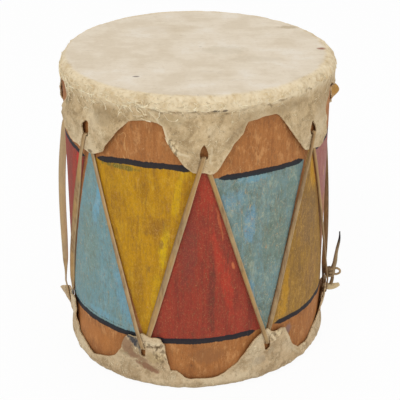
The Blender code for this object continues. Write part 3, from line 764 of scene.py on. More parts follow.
def tieKnot(body):
    turn = math.radians(knot["angle"])
    outward = Vector((math.sin(turn), -math.cos(turn), 0))
    upward = Vector((0, 0, 1))
    sideways = outward.cross(upward)
    centre = spotOn(knot["angle"], knot["reach"], knot["height"])
    for tilt, rise, radius, thick, seed in knot["wraps"]:
        lean = math.radians(tilt)
        leaning = sideways * math.cos(lean) + upward * math.sin(lean)
        points = ringOf(centre + upward * rise, outward, leaning, radius, 28, seed, 0.7)
        strand(body, points, [thick + 0.3 * noise.noise(point * 0.5) for point in points], 0.85, True, 0.1)
    out, radius, thick = knot["binding"]
    strand(body, ringOf(centre + outward * out, sideways, upward, radius, 24, 5, 0.7), thick, 0.9, True, 0.12)

    # folded end, held under the knot by its neck
    height, length, start = knot["fold"]
    points, radii = [], []
    for step in range(17):
        share = step / 16
        rise = height - knot["height"] + 2.2 * share ** 3 - 1.2 * math.sin(math.pi * share)
        points.append(centre + outward * (length * share + start) + upward * rise)
        fullness = max(0.25, math.sin(math.pi * (0.1 + 0.84 * share))) ** 0.5
        radii.append(3.5 * fullness + 0.4 * noise.noise(Vector((share * 5, 0.4, 2.2))))
    strand(body, points, radii, 0.9, marks=-0.3)
    length, thick = knot["neck"]
    points = []
    for step in range(9):
        out = 2.0 + 1.2 * math.sin(math.pi * step / 8)
        points.append(centre + outward * out - upward * (length * step / 8))
    strand(body, points, thick, 0.9, marks=0.1)

    # tail, with its spare loop
    root = centre + outward * 1.8
    reach, height = knot["tail"]
    tip = Vector((reach * math.sin(turn), -reach * math.cos(turn), height))
    points, radii, marks = [], [], []
    for step in range(25):
        share = step / 24
        bend = 1.5 * math.sin(math.pi * share) + 0.5 * math.sin(3 * math.pi * share)
        points.append(root.lerp(tip, share) + outward * bend + sideways * 0.9 * math.sin(2 * math.pi * share))
        radii.append(2.6 - 1.85 * share ** 1.2 + 0.25 * noise.noise(Vector((share * 6, 1.7, 0.3))))
        marks.append(share)
    strand(body, points, radii, 0.95, marks=marks)
    radius, thick = knot["loop"]
    points = ringOf(centre + outward * (knot["radius"] + radius - 0.3), outward, upward, radius, 30, 9, 0.6)
    strand(body, points, thick, 0.85, True)


def makeThong():
    body = strandBody()
    laceThong(body)
    tieKnot(body)
    mesh = strandMesh("lacingThong", body)
    mesh.set_sharp_from_angle(angle=math.radians(thong["sharp"]))
    return addPiece("rawhide_thong", mesh)


# Loose fibres of the scraped hide, lying on the rim and along some edges
fibreSettings = {
    "seed": 11,
    "count": 190,
    "ragged": (110, -74, -8, 278.6, 4.6),  # how many more, between which angles, at what height, and spread
    "radius": 0.3,
    "steps": 9,
    "aim": (131, 291),  # radius, and the greatest height, that a fibre is laid on the hide from
    # seen in the photo: angle, height, length, way it runs and thickness
    "seen": (
        (0.1, 275.5, 14, 94, 2.2), (-1.6, 277.5, 7, 10, 1.4), (-18, 271, 27, 150, 2.4),
        (-20.5, 274, 24, 158, 1.8), (-24, 272.5, 15, 128, 1.5), (-36, 279.5, 14, 60, 1.8),
        (-47, 280.5, 18, 20, 1.8), (-12.5, 246, 9, 120, 1.6), (30, 278, 16, 14, 1.6),
    ),
}


def makeFibres(hide):
    surface = BVHTree.FromObject(hide, bpy.context.evaluated_depsgraph_get())
    chance = np.random.default_rng(fibreSettings["seed"])
    starts = list(fibreSettings["seen"])
    for _ in range(fibreSettings["count"]):
        height = drum["height"] - abs(chance.normal(0.0, 7.5)) - 2.0
        starts.append((chance.uniform(-180, 180), height, chance.uniform(5, 17),
                       chance.uniform(-60, 240), chance.uniform(0.7, 1.5)))
    many, first, last, middle, spread = fibreSettings["ragged"]
    for _ in range(many):
        starts.append((chance.uniform(first, last), chance.normal(middle, spread), chance.uniform(6, 18),
                       chance.normal(158.0, 30.0), chance.uniform(0.7, 1.7)))
    body = strandBody()
    count = fibreSettings["steps"]
    reach, highest = fibreSettings["aim"]
    for angle, height, length, way, thickness in starts:
        bend = chance.normal(0.0, 75.0) / thickness
        points, radii = [], []
        for step in range(count):
            share = step / (count - 1)
            lift = 0.2 + 1.3 * max(0.0, share - 0.7) * chance.uniform(0.2, 1.6)
            aim = Vector(onDrum(np.array(angle), reach, min(height, highest)))
            spot, normal, _, _ = surface.find_nearest(aim)
            points.append((spot + normal * lift / 1000) * 1000)
            radii.append(fibreSettings["radius"] * thickness * (1.1 - 0.75 * share))
            course = math.radians(way + bend * share)
            angle += length / count * math.cos(course) / arcMm
            height += length / count * math.sin(course)
        strand(body, points, radii, 0.8, section=squareSection)
    return addPiece("loose_fibres", strandMesh("looseFibres", body))


# Shader maths: a Flow is a number on its way between nodes, a Board is a tree of nodes, and a Paint
# is a material's board. A colour is a Flow or (red, green, blue) up to 255.
class Flow:
    def __init__(self, board, socket):
        self.board = board
        self.socket = socket

    def __add__(self, other):
        return self.board.maths("ADD", self, other)

    def __radd__(self, other):
        return self.board.maths("ADD", other, self)

    def __sub__(self, other):
        return self.board.maths("SUBTRACT", self, other)

    def __rsub__(self, other):
        return self.board.maths("SUBTRACT", other, self)

    def __mul__(self, other):
        return self.board.maths("MULTIPLY", self, other)

    def __rmul__(self, other):
        return self.board.maths("MULTIPLY", other, self)

    def __truediv__(self, other):
        return self.board.maths("DIVIDE", self, other)

    def __abs__(self):
        return self.board.maths("ABSOLUTE", self)


class Board:
    def __init__(self, tree):
        self.tree = tree

    def feed(self, socket, value):
        if isinstance(value, Flow):
            self.tree.links.new(value.socket, socket)
        else:
            socket.default_value = value

    def node(self, kind, settings=None, inputs=None, output=0):
        made = self.tree.nodes.new(kind)
        for key, value in (settings or {}).items():
            setattr(made, key, value)
        for key, value in (inputs or {}).items():
            self.feed(made.inputs[key], value)
        return Flow(self, made.outputs[output]) if made.outputs else None

    def maths(self, operation, *values):
        return self.node("ShaderNodeMath", {"operation": operation}, dict(enumerate(values)))

    def most(self, first, second):
        return self.maths("MAXIMUM", first, second)

    def least(self, first, second):
        return self.maths("MINIMUM", first, second)


class Paint(Board):
    def __init__(self, name, roughness):
        self.material = bpy.data.materials.new(name)
        self.material.use_nodes = True
        super().__init__(self.material.node_tree)
        self.shader = self.tree.nodes["Principled BSDF"]
        self.put("Roughness", roughness)
        self.put("Specular IOR Level", 0.2)
        place = self.node("ShaderNodeTexCoord", output="Object")
        self.spot = self.node("ShaderNodeVectorMath", {"operation": "SCALE"}, {0: place, "Scale": 1000.0})

    def put(self, name, value):
        self.feed(self.shader.inputs[name], value)

    def places(self):
        # millimetres along each axis, and degrees round the drum
        x, y, z = (self.node("ShaderNodeSeparateXYZ", {}, {0: self.spot}, axis) for axis in range(3))
        return x, y, z, self.maths("ARCTAN2", x, 0 - y) * (180 / math.pi)

    def rise(self, value, low, high):
        settings = {"interpolation_type": "SMOOTHSTEP"}
        return self.node("ShaderNodeMapRange", settings, {0: value, 1: low, 2: high, 3: 0.0, 4: 1.0})

    def mix(self, share, first, second):
        first, second = (value if isinstance(value, Flow) else tint(*value) for value in (first, second))
        return self.node("ShaderNodeMix", {"data_type": "RGBA"}, {0: share, 6: first, 7: second}, 2)

    def lay(self, colour, *layers):
        # each layer: what it follows, where that starts and ends its rise, strength and colour
        for value, low, high, strength, shade in layers:
            colour = self.mix(self.rise(value, low, high) * strength, colour, shade)
        return colour

    def grain(self, stretch, detail=3.0, roughness=0.55, shift=0.0, distortion=0.0):
        # noise with its own scale along each axis, in turns per millimetre
        place = self.node("ShaderNodeVectorMath", {"operation": "MULTIPLY_ADD"}, {
            0: self.spot, 1: stretch, 2: (shift, shift * 0.7, shift * 1.3)})
        inputs = {"Vector": place, "Scale": 1.0, "Detail": detail, "Roughness": roughness, "Distortion": distortion}
        return self.node("ShaderNodeTexNoise", {}, inputs)

    def thread(self, stretch, width, shift=0.0, distortion=0.0):
        # thin lines where a noise passes its middle
        return self.rise(abs(self.grain(stretch, 1.5, 0.5, shift, distortion) - 0.5), width, width * 0.25)

    def turned(self, angle, centre):
        return self.maths("WRAP", angle - centre, 180.0, -180.0)

    def oval(self, across, down, fray, low, high):
        return self.rise(across * across + down * down + fray, low, high)

    def patch(self, angle, z, place, fray, low=1.3, high=0.2):
        # place: angle, height, half width in degrees, half height and lean in degrees per millimetre
        centre, height, wide, tall, lean = place
        up = z - height
        across = self.turned(angle, centre)
        if lean:
            across = across - up * lean
        return self.oval(across / wide, up / tall, fray, low, high)

    def attribute(self, name):
        return self.node("ShaderNodeAttribute", {"attribute_name": name}, output="Fac")

    def finish(self, colour, roughness, height, depth, strength=1.0):
        self.put("Base Color", colour)
        self.put("Roughness", roughness)
        self.put("Normal", self.node("ShaderNodeBump", {}, {"Strength": strength, "Distance": depth, "Height": height}))
        return self.material


def tint(red, green, blue):
    values = [channel / 255 for channel in (red, green, blue)]
    return (*[v / 12.92 if v <= 0.04045 else ((v + 0.055) / 1.055) ** 2.4 for v in values], 1.0)


# Paint: main, second and bright colour
paints = {
    "red": ((154, 60, 44), (124, 52, 42), (182, 60, 42)),
    "redDark": ((150, 62, 52), (128, 58, 48), (192, 48, 44)),
    "yellow": ((192, 140, 14), (156, 108, 22), (208, 166, 4)),
    "blue": ((116, 144, 144), (108, 126, 112), (108, 154, 176)),
    "blueLeft": ((114, 153, 160), (124, 146, 138), (106, 164, 192)),
    "ochre": ((160, 120, 52), (128, 96, 56), (200, 150, 36)),
    "mauve": ((166, 112, 106), (150, 84, 72), (176, 120, 120)),
}

# Panels in their order round the drum, pointing down and up in turn, the first between the slots at 313.2 and 3.4.
# A stroke is (start, end, height at the middle, slope, bend, half thickness) in degrees and millimetres.
panels = (
    ("frontYellow", "yellow", (-42, -1.2, 226.4, 0.05, -0.008, 2.9)),
    ("frontRed", "red", (-19, 26.4, 52.8, 0.06, 0.001, 3.1)),
    ("frontBlue", "blue", (10, 50, 215.2, -0.03, -0.0025, 2.8)),
    ("rightOchre", "ochre", (37.6, 83, 55.6, 0.02, 0.001, 2.7)),
    ("rightMauve", "mauve", (60.5, 101, 219, 0.04, -0.004, 2.6)),
    ("backBlue", "blueLeft", (90, 132, 54, 0.02, 0.001, 2.6)),
    ("backYellow", "yellow", (112, 152, 221, 0.03, -0.003, 2.6)),
    ("backRed", "red", (140, 180, 55, -0.02, 0.002, 2.6)),
    ("rearBlue", "blue", (163, 204, 219, 0.02, -0.003, 2.8)),
    ("rearOchre", "ochre", (188, 231, 54, 0.03, 0.001, 2.6)),
    ("leftBlue", "blueLeft", (214, 256, 220, -0.02, -0.003, 2.6)),
    ("leftYellow", "yellow", (239, 279, 53, 0.02, 0.002, 2.7)),
    ("leftRed", "redDark", (265.5, 309, 222, -0.06, -0.006, 2.6)),
    ("frontLeftBlue", "blueLeft", (289, 337.4, 53.8, 0.01, -0.003, 3)),
)

# Patches of a panel: angle, height, half width in degrees, half height, lean in degrees per mm, colour, strength
patches = {
    "frontYellow": (
        (-12.5, 150, 2.4, 22, 0.05, (214, 176, 4), 0.85), (-7, 200, 1.5, 28, 0.085, (206, 162, 10), 0.75),
        (-3.2, 222, 2.6, 9, 0.06, (206, 160, 18), 0.7), (-16.5, 100, 2.2, 26, 0.03, (206, 162, 12), 0.6),
        (-33.5, 206, 7, 14, 0, (196, 146, 18), 0.5), (-31, 220, 9, 2.6, 0.03, (108, 104, 40), 0.85),
        (-16, 168, 5.5, 10, 0, (136, 90, 34), 0.55), (-14, 152, 1.2, 5, 0, (128, 84, 36), 0.6),
        (-24, 95, 3, 30, 0, (156, 110, 26), 0.5), (-35, 160, 1.6, 40, -0.13, (150, 104, 26), 0.5),
    ),
    "frontRed": (
        (3.8, 196, 4.5, 20, 0, (172, 60, 42), 0.6), (12, 120, 2.6, 42, -0.1, (184, 60, 42), 0.7),
        (-2.5, 140, 4.2, 36, 0.03, (130, 60, 50), 0.75), (-4, 80, 5, 18, 0, (152, 58, 44), 0.5),
        (7, 100, 1.6, 46, 0, (104, 50, 42), 0.55), (16.2, 128, 0.8, 5, -0.09, (206, 116, 72), 0.9),
        (10.3, 170, 0.7, 16, -0.09, (200, 104, 62), 0.6), (19, 70, 5, 16, 0, (166, 62, 46), 0.5),
    ),
    "frontBlue": (
        (15, 192, 5.5, 11, 0, (112, 152, 168), 0.7), (23.5, 166, 3, 18, 0.05, (104, 156, 186), 0.6),
        (24, 210, 8, 3.4, 0, (112, 162, 180), 0.7), (24.5, 98, 2, 22, -0.05, (104, 160, 190), 0.6),
        (36, 150, 6, 34, 0, (112, 130, 116), 0.65), (45, 195, 3, 30, 0.05, (118, 146, 138), 0.5),
    ),
    "rightOchre": (
        (59.5, 196, 2.8, 20, -0.05, (202, 146, 36), 0.8), (42.5, 82, 3, 26, 0.05, (196, 144, 34), 0.75),
        (57, 150, 8, 34, 0, (132, 102, 68), 0.65), (62, 90, 7, 22, 0, (154, 114, 66), 0.5),
    ),
    "rightMauve": (
        (80, 176, 9, 20, 0, (168, 122, 124), 0.6), (76, 130, 6, 30, 0, (176, 128, 60), 0.6),
    ),
    "leftRed": (
        (-55.5, 208, 2.6, 22, 0.09, (200, 46, 40), 0.9), (-62, 190, 2.4, 30, 0.07, (172, 60, 46), 0.6),
    ),
    "frontLeftBlue": (
        (-43.5, 180, 2, 44, 0.13, (112, 172, 200), 0.6), (-31.5, 92, 3.4, 36, -0.13, (114, 164, 184), 0.7),
        (-44, 63, 11, 4.5, 0, (114, 166, 186), 0.6), (-50, 130, 6, 40, 0, (122, 146, 138), 0.8),
        (-56, 90, 5, 22, 0, (124, 152, 148), 0.6), (-48, 205, 2, 16, 0, (130, 156, 152), 0.6),
    ),
    "backRed": (
        (158, 180, 3.5, 26, 0, (186, 60, 42), 0.7), (150, 90, 3.5, 30, 0.05, (128, 58, 48), 0.7),
    ),
    "backYellow": (
        (140, 160, 2.6, 30, 0.04, (210, 170, 10), 0.7), (126, 195, 5, 14, 0, (150, 106, 34), 0.5),
    ),
    "rearBlue": (
        (176, 186, 5, 16, 0, (104, 158, 190), 0.7), (192, 150, 5, 30, 0, (112, 132, 118), 0.6),
    ),
    "leftYellow": (
        (262, 120, 2.6, 32, 0, (208, 166, 12), 0.6), (252, 80, 4, 18, 0, (146, 102, 34), 0.5),
    ),
    "leftBlue": (
        (226, 190, 4, 20, 0, (108, 170, 204), 0.6), (246, 170, 4, 26, 0, (122, 148, 140), 0.6),
    ),
}

logPaint = {
    "wood": ((175, 114, 62), (150, 92, 48), (196, 136, 82)),
    "shadow": (154, 99, 58),
    "bare": 0.8,  # degrees of bare wood beside a strand
    "between": (44.0, 234.0),  # heights that a panel's edges run between
    "degree": 2.15,  # millimetres of log in one
    "black": (34, 36, 42),
    "calm": {"red": 0.8, "redDark": 0.8, "yellow": 0.5},
    # darker and paler weathering of a paint, and how strong it is
    "weathered": {
        "blue": ((92, 108, 92), (166, 176, 156), 0.55),
        "blueLeft": ((104, 126, 114), (158, 182, 182), 0.32),
        "ochre": ((112, 84, 52), (204, 158, 80), 0.45),
        "yellow": ((140, 96, 24), (218, 176, 60), 0.3),
        "red": ((112, 46, 40), (184, 76, 56), 0.25),
    },
    "faintLines": ((293, 330, 59.3, 0.02, -0.003, 0.5),),  # thin broken line above a stroke
    "smudgesAndPaintedLight": (
        (45.5, 43, 2.2, 6, 0, (132, 116, 118), 0.6), (-24.6, 48, 1.6, 7, 0.25, (60, 58, 62), 0.85),
        # the pale orange patch at -50 degrees is painted light, brightening wood that lies in shade at the low left
        (5, 36, 7, 9, 0, (140, 96, 62), 0.5), (-50, 34, 13, 13, 0, (194, 126, 66), 0.5),
    ),
}


def panelEdges(index):
    # (top, foot) angles of a panel's left and right edge, and the angle of its point
    tops, feet = ([lobe[0] for lobe in head["lobes"]] for head in (topHead, bottomHead))
    right = index // 2
    left = right - 1
    if index % 2:
        return ((tops[right], feet[left]), (tops[right], feet[right])), tops[right]
    return ((tops[left], feet[left]), (tops[right], feet[left])), feet[left]


def strokeAlong(board, angle, stroke):
    # turn from a stroke's middle, and the height of its centre line there
    start, end, middle, slope, bend, _ = stroke
    along = board.turned(angle, (start + end) / 2)
    return along, along * slope + along * along * bend + middle


def logMaterial():
    board = Paint("paintedWood", 0.7)
    _, _, z, angle = board.places()
    fine = board.grain((0.5, 0.5, 0.2), 4.0, 0.62, 1.0)
    streak = board.grain((0.2, 0.2, 0.02), 4.0, 0.62, 5.0, 0.6)
    brush = board.grain((0.6, 0.6, 0.06), 3.0, 0.65, 9.0, 0.3)
    cloud = board.grain((0.03, 0.03, 0.02), 4.0, 0.6, 13.0)
    grit = board.grain((0.9, 0.9, 0.75), 3.0, 0.65, 17.0)
    blotch = board.grain((0.13, 0.13, 0.07), 4.0, 0.68, 51.0)
    wobble = board.grain((0.09, 0.09, 0.09), 3.0, 0.6, 21.0) - 0.5
    ragged = (fine - 0.5) * 2.4 + wobble * 2.0  # how far paint edges wander, in millimetres
    fray = (brush - 0.5) * 2.4 + (streak - 0.5) * 1.6 + wobble * 2.4

    wood, dark, pale = logPaint["wood"]
    colour = board.lay(
        wood, (streak, 0.36, 0.68, 0.7, dark), (brush, 0.5, 0.74, 0.45, pale),
        (cloud, 0.48, 0.72, 0.5, logPaint["shadow"]), (blotch, 0.52, 0.68, 0.6, (210, 154, 98)),
        (blotch, 0.42, 0.3, 0.5, (132, 84, 50)))

    foot, head = logPaint["between"]
    bare = logPaint["bare"]
    calm = 0.0  # where the paint shows few scratches
    mottle = board.grain((0.11, 0.11, 0.07), 5.0, 0.7, 61.0, 0.4)
    speck = board.grain((0.42, 0.42, 0.3), 4.0, 0.68, 67.0)
    network = board.thread((0.15, 0.15, 0.1), 0.016, 71.0, 1.8) * board.rise(cloud, 0.38, 0.5)
    for index, (name, paint, stroke) in enumerate(panels):
        edges, centre = panelEdges(index)
        turned = board.turned(angle, centre)
        sides = []
        for (top, low), gap in zip(edges, (bare, -bare)):
            sides.append((z - foot) * (turnBetween(top, low) / (head - foot)) + (turnBetween(low, centre) + gap))
        reach = board.least(turned - sides[0], sides[1] - turned) * logPaint["degree"] + ragged * 0.7
        line = strokeAlong(board, angle, stroke)[1]
        reach = board.least(reach, (z - line if index % 2 else line - z) + ragged)
        main, under, bright = paints[paint]
        shade = board.lay(main, (streak, 0.38, 0.7, 0.75, under), (brush, 0.54, 0.76, 0.35, bright))
        for *place, tone, strength in patches.get(name, ()):
            shade = board.mix(board.patch(angle, z, place, fray) * strength, shade, tone)
        if paint in logPaint["weathered"]:
            worn, faded, amount = logPaint["weathered"][paint]
            shade = board.lay(
                shade, (mottle, 0.5, 0.66, amount, worn), (mottle, 0.46, 0.32, amount, faded),
                (speck, 0.54, 0.66, amount * 0.8, faded))
            shade = board.mix(network * amount, shade, faded)
        share = board.rise(reach, -0.25, 0.45)
        colour = board.mix(share, colour, shade)
        if paint in logPaint["calm"]:
            calm = share * logPaint["calm"][paint] + calm

    # wear under the black strokes: pale scratches, brown cracks along the grain, nicks to the wood
    chips = board.rise(board.grain((0.24, 0.24, 0.12), 5.0, 0.72, 45.0), 0.64, 0.7)
    scratches = board.thread((0.09, 0.09, 0.03), 0.006, 31.0, 1.2) * board.rise(cloud, 0.42, 0.58)
    crossScratches = board.thread((0.06, 0.06, 0.1), 0.0045, 37.0, 1.6) * board.rise(streak, 0.42, 0.56)
    cracks = board.thread((0.16, 0.16, 0.008), 0.006, 41.0) * board.rise(fine, 0.42, 0.62)
    colour = board.lay(colour, (fine, 0.46, 0.72, 0.3, (112, 84, 56)), (grit, 0.46, 0.34, 0.16, (214, 170, 112)))
    colour = board.mix(cracks * 0.32, colour, (92, 62, 42))
    colour = board.mix(chips * 0.5, colour, (196, 142, 90))
    colour = board.mix(scratches * (1 - calm) * 0.45, colour, (222, 176, 116))
    colour = board.mix(crossScratches * (1 - calm) * 0.35, colour, (216, 178, 126))
    colour = board.lay(colour, (grit, 0.6, 0.72, 0.4, (84, 66, 50)))

    ink = logPaint["black"]
    wornInk = board.lay(ink, (brush, 0.6, 0.76, 0.4, (74, 74, 76)))
    for _, _, stroke in panels:
        along, line = strokeAlong(board, angle, stroke)
        share = abs(along) / ((stroke[1] - stroke[0]) / 2)
        inside = board.rise(share, 1.1, 0.86) * stroke[5] - abs(z - line + wobble * 3.0) + (fine - 0.5) * 1.6
        mask = board.rise(inside, -0.2, 0.5) * board.rise(share, 1.05, 1.0)
        colour = board.mix(mask * 0.97, colour, wornInk)
    for stroke in logPaint["faintLines"]:
        along, line = strokeAlong(board, angle, stroke)
        half = (stroke[1] - stroke[0]) / 2
        inside = stroke[5] - abs(z - line + wobble * 2.0) + (fine - 0.5) * 3.0
        mask = board.rise(inside, 0.1, 0.6) * board.rise(abs(along), half, half - 2)
        colour = board.mix(mask * 0.75, colour, ink)

    # painted shade on the wood near its top and foot, where the hide's skirts overhang it
    ends = board.most(board.rise(z + ragged * 3, 250.0, 270.0), board.rise(z + ragged * 3, 30.0, 10.0) * 0.7)
    colour = board.mix(ends * 0.35, colour, (118, 72, 42))
    # smudges on the wood, and one patch of painted light
    for *place, tone, strength in logPaint["smudgesAndPaintedLight"]:
        colour = board.mix(board.patch(angle, z, place, fray) * strength, colour, tone)
    height = streak * 0.4 + fine * 0.4 + grit * 0.2 - cracks * 0.4 - chips * 0.25
    return board.finish(colour, board.rise(brush, 0.3, 0.8) * 0.16 + 0.66, height, 0.0005, 0.7)


# Hide: main, dark and pale tone of the skin and the skirt, two of the rim, and that of the cut edge.
# The rim's tone wanders by the first number of its zone, and comes in between the other two, in height.
hides = {
    "top": {
        "skin": ((225, 211, 189), (203, 184, 154), (232, 222, 206)),
        "rim": ((230, 211, 176), (196, 166, 116)),
        "skirt": ((200, 174, 133), (166, 140, 101), (226, 205, 168)),
        "edge": (220, 196, 154),
        "rimZone": (12, 272, 280),
    },
    "bottom": {
        "skin": ((196, 176, 144), (170, 150, 118), (212, 196, 166)),
        "rim": ((198, 176, 140), (164, 140, 104)),
        "skirt": ((202, 176, 138), (166, 140, 104), (226, 206, 171)),
        "edge": (218, 192, 150),
        "rimZone": (6, 9, 2),
    },
}

# Stains: angle, height, half width in degrees, half height, lean in degrees per mm, colour and strength
stains = {
    "top": (
        (8, 277, 1.6, 1.4, 0, (70, 58, 46), 0.8), (11.5, 277, 1.2, 1.2, 0, (84, 70, 56), 0.8),
        (-44.5, 228, 1.6, 2, 0, (96, 78, 56), 0.7), (15.5, 254, 3, 11, 0.35, (150, 124, 92), 0.35),
        (-38, 264, 5, 9, 0, (150, 130, 98), 0.4), (-9, 268, 6, 6, 0, (170, 150, 112), 0.4),
        (40, 270, 8, 5, 0, (160, 138, 104), 0.35),
        (72, 258, 16, 16, 0, (158, 128, 88), 0.4),
        (26, 266, 14, 8, 0, (162, 134, 94), 0.35),
        (94, 246.5, 9, 11, 0, (186, 138, 66), 0.95),
    ),
    "bottom": (
        (-20.5, 22, 4.6, 5.6, -0.75, (140, 98, 72), 0.85),
        (-28.3, 40, 4.2, 12, -0.1, (144, 108, 80), 0.8),
        (-24.6, 32, 3.2, 8, -0.45, (150, 114, 86), 0.65),
        (-26.4, 50.5, 2.7, 10.5, -0.32, (60, 62, 68), 0.95), (-23.4, 40, 0.8, 5, -0.1, (90, 82, 74), 0.6),
        (-17, 34, 4, 8, 0, (176, 152, 106), 0.5), (29, 22, 3.6, 5, 0, (142, 128, 108), 0.4),
        (34.5, 30, 2, 6, 0, (176, 158, 130), 0.4), (49, 12, 5, 5, 0, (176, 148, 108), 0.5),
    ),
}

# Stains on the flat skin: x, y, half width, half depth, colour and strength
skinStains = {
    "top": (
        (116, 1.3, 6.2, 3.4, (146, 92, 66), 0.95), (-50.4, -73.2, 3.4, 1.9, (112, 96, 82), 0.8),
        (26, -2, 22, 14, (180, 164, 132), 0.24), (52, -28, 26, 9, (184, 166, 136), 0.22),
        (-30, 62, 34, 18, (196, 174, 140), 0.25), (8, -66, 30, 10, (198, 178, 146), 0.22),
        (88, 66, 12, 5, (172, 148, 108), 0.6),
    ),
    "bottom": (),
}

# Places with dark and pale specks: angle, height, half width in degrees, half height and lean
speckled = {
    "top": ((-9, 240, 3, 14, 0), (-62, 268, 3, 12, 0)),
    "bottom": ((-14.5, 38, 3.2, 14, 0), (-18, 47, 5, 2.6, 0), (36, 46, 4, 5, 0)),
}

def hideMaterial(name, key):
    tones = hides[key]
    board = Paint(name, 0.6)
    x, y, z, angle = board.places()
    reach = board.maths("SQRT", x * x + y * y)
    tone = board.attribute("tone")
    hideLeft = board.attribute("hideLeft")
    cloud = board.grain((0.03, 0.03, 0.03), 4.0, 0.6, 2.0)
    blotch = board.grain((0.085, 0.085, 0.085), 4.0, 0.62, 6.0, 0.5)
    weave = board.grain((0.34, 0.34, 0.2), 4.0, 0.62, 10.0)
    grit = board.grain((1.2, 1.2, 1.2), 3.0, 0.6, 14.0)
    drawn = board.grain((0.018, 0.09, 0.05), 5.0, 0.62, 18.0, 0.3)
    onSkin = board.rise(reach + (blotch - 0.5) * 6, 121.0, 115.5)
    offSkin = 1 - onSkin

    main, dark, pale = tones["skirt"]
    skirt = board.lay(
        main, (blotch, 0.42, 0.64, 1, dark), (cloud, 0.44, 0.64, 0.75, pale), (weave, 0.52, 0.68, 0.5, dark),
        (weave, 0.46, 0.3, 0.45, pale), (grit, 0.52, 0.68, 0.45, pale), (grit, 0.46, 0.32, 0.35, dark))
    main, dark = tones["rim"]
    rim = board.lay(
        main, (blotch, 0.44, 0.66, 0.45, dark), (weave, 0.5, 0.68, 0.4, dark),
        (weave, 0.45, 0.3, 0.5, (242, 230, 204)))
    wander, start, full = tones["rimZone"]
    colour = board.mix(board.rise(z + (blotch - 0.5) * wander, start, full), skirt, rim)
    main, dark, pale = tones["skin"]
    skin = board.lay(
        main, (drawn, 0.46, 0.72, 0.3, dark), (cloud, 0.46, 0.62, 0.4, dark), (cloud, 0.46, 0.34, 0.6, pale),
        (weave, 0.52, 0.7, 0.25, dark))
    for across, inward, wide, deep, shade, strength in skinStains[key]:
        uneven = 2.4 if wide > 10 else 0.8
        fray = (weave - 0.5) * uneven + (blotch - 0.5) * uneven
        share = board.oval((x - across) / wide, (y - inward) / deep, fray, 1.2, 0.2)
        skin = board.mix(share * strength, skin, shade)
    colour = board.mix(onSkin, colour, skin)

    # painted highlight and painted shade of the creases and lip, the lighter cut edge, loose fibres and dark specks
    nearEdge = hideLeft + (weave - 0.5) * 3
    colour = board.lay(
        colour, (tone, 0.12, 0.8, 0.7, (232, 214, 178)), (tone, -0.12, -0.8, 0.6, (112, 88, 60)),
        (nearEdge, 2.2, 0.4, 0.25, tones["edge"]))
    fibres = board.thread((0.05, 0.05, 0.09), 0.007, 22.0, 1.8) * board.rise(blotch, 0.42, 0.56)
    fibres = board.most(fibres, board.thread((0.07, 0.07, 0.04), 0.008, 25.0, 1.2) * board.rise(weave, 0.46, 0.6))
    fibres = board.most(fibres, board.thread((0.12, 0.12, 0.14), 0.009, 28.0, 1.0) * board.rise(cloud, 0.5, 0.62))
    crackle = board.thread((0.09, 0.09, 0.08), 0.006, 26.0, 1.4) * board.rise(weave, 0.45, 0.6)
    colour = board.mix(crackle * offSkin * 0.5, colour, (116, 92, 64))
    colour = board.mix(fibres * offSkin * 0.7, colour, (244, 228, 188))
    scuffs = board.rise(board.grain((0.05, 0.4, 0.3), 4.0, 0.7, 33.0), 0.64, 0.7) * onSkin
    colour = board.mix(scuffs * 0.3, colour, (150, 124, 96))
    marks = board.rise(board.grain((0.12, 0.2, 0.2), 4.0, 0.7, 30.0), 0.69, 0.76)
    colour = board.mix(marks * 0.45, colour, (104, 84, 66))
    colour = board.lay(colour, (grit, 0.64, 0.76, 0.1 + offSkin * 0.3, (112, 90, 64)))
    outer = board.rise(reach, 110.0, 114.0)
    fray = (weave - 0.5) * 2.2 + (blotch - 0.5) * 2.0
    for *place, shade, strength in stains[key]:
        share = board.patch(angle, z, place, fray, 1.1, 0.3)
        colour = board.mix(share * strength * outer, colour, shade)
    for place in speckled[key]:
        share = board.patch(angle, z, place, (blotch - 0.5) * 2, 1.2, 0.4)
        colour = board.lay(
            colour, (weave, 0.5, 0.58, share * 0.6, (98, 80, 52)), (weave, 0.47, 0.38, share * 0.7, (232, 212, 168)))
    height = blotch * 0.4 + weave * 0.5 + grit * 0.14 + fibres * 0.3 - crackle * 0.3 - marks * 0.2
    roughness = 0.66 - onSkin * 0.14 + (weave - 0.5) * 0.2
    return board.finish(colour, roughness, height * (1 - onSkin * 0.75), 0.0012, 0.8)


def cutEdgeMaterial(name, key):
    board = Paint(name, 0.7)
    weave = board.grain((0.5, 0.5, 0.5), 4.0, 0.6, 3.0)
    colour = board.lay(hides[key]["edge"], (weave, 0.4, 0.65, 1, hides[key]["skirt"][1]))
    return board.finish(colour, 0.66 + weave * 0.1, weave, 0.0004, 0.6)


def thongMaterial():
    board = Paint("driedThong", 0.6)
    across = board.attribute("across")
    tip = board.attribute("tip")
    long = board.grain((0.5, 0.5, 0.09), 4.0, 0.6, 4.0)
    patch = board.grain((0.06, 0.06, 0.05), 4.0, 0.6, 8.0)
    grit = board.grain((1.0, 1.0, 1.0), 3.0, 0.6, 12.0)
    amber = board.grain((0.03, 0.03, 0.012), 3.0, 0.6, 16.0)
    # across paints a shade along one long edge of the strip and a highlight along the other
    colour = board.lay(
        (164, 136, 98), (long, 0.38, 0.64, 1, (136, 108, 74)), (patch, 0.44, 0.68, 0.6, (188, 158, 112)),
        (amber, 0.47, 0.6, 0.55, (188, 146, 84)), (across, 0.25, 0.95, 0.5, (112, 84, 58)),
        (across, -0.25, -0.95, 0.45, (206, 180, 140)), (grit, 0.6, 0.76, 0.4, (96, 74, 54)),
        (tip, 0.04, 0.14, 0.45, (120, 104, 82)), (tip, -0.05, -0.2, 0.55 + long * 0.5, (226, 204, 160)),
        (tip + (long - 0.5) * 0.3, 0.5, 0.9, 1, (44, 40, 40)))
    return board.finish(colour, 0.55 + long * 0.15, long * 0.6 + grit * 0.2 + patch * 0.2, 0.0005, 0.7)


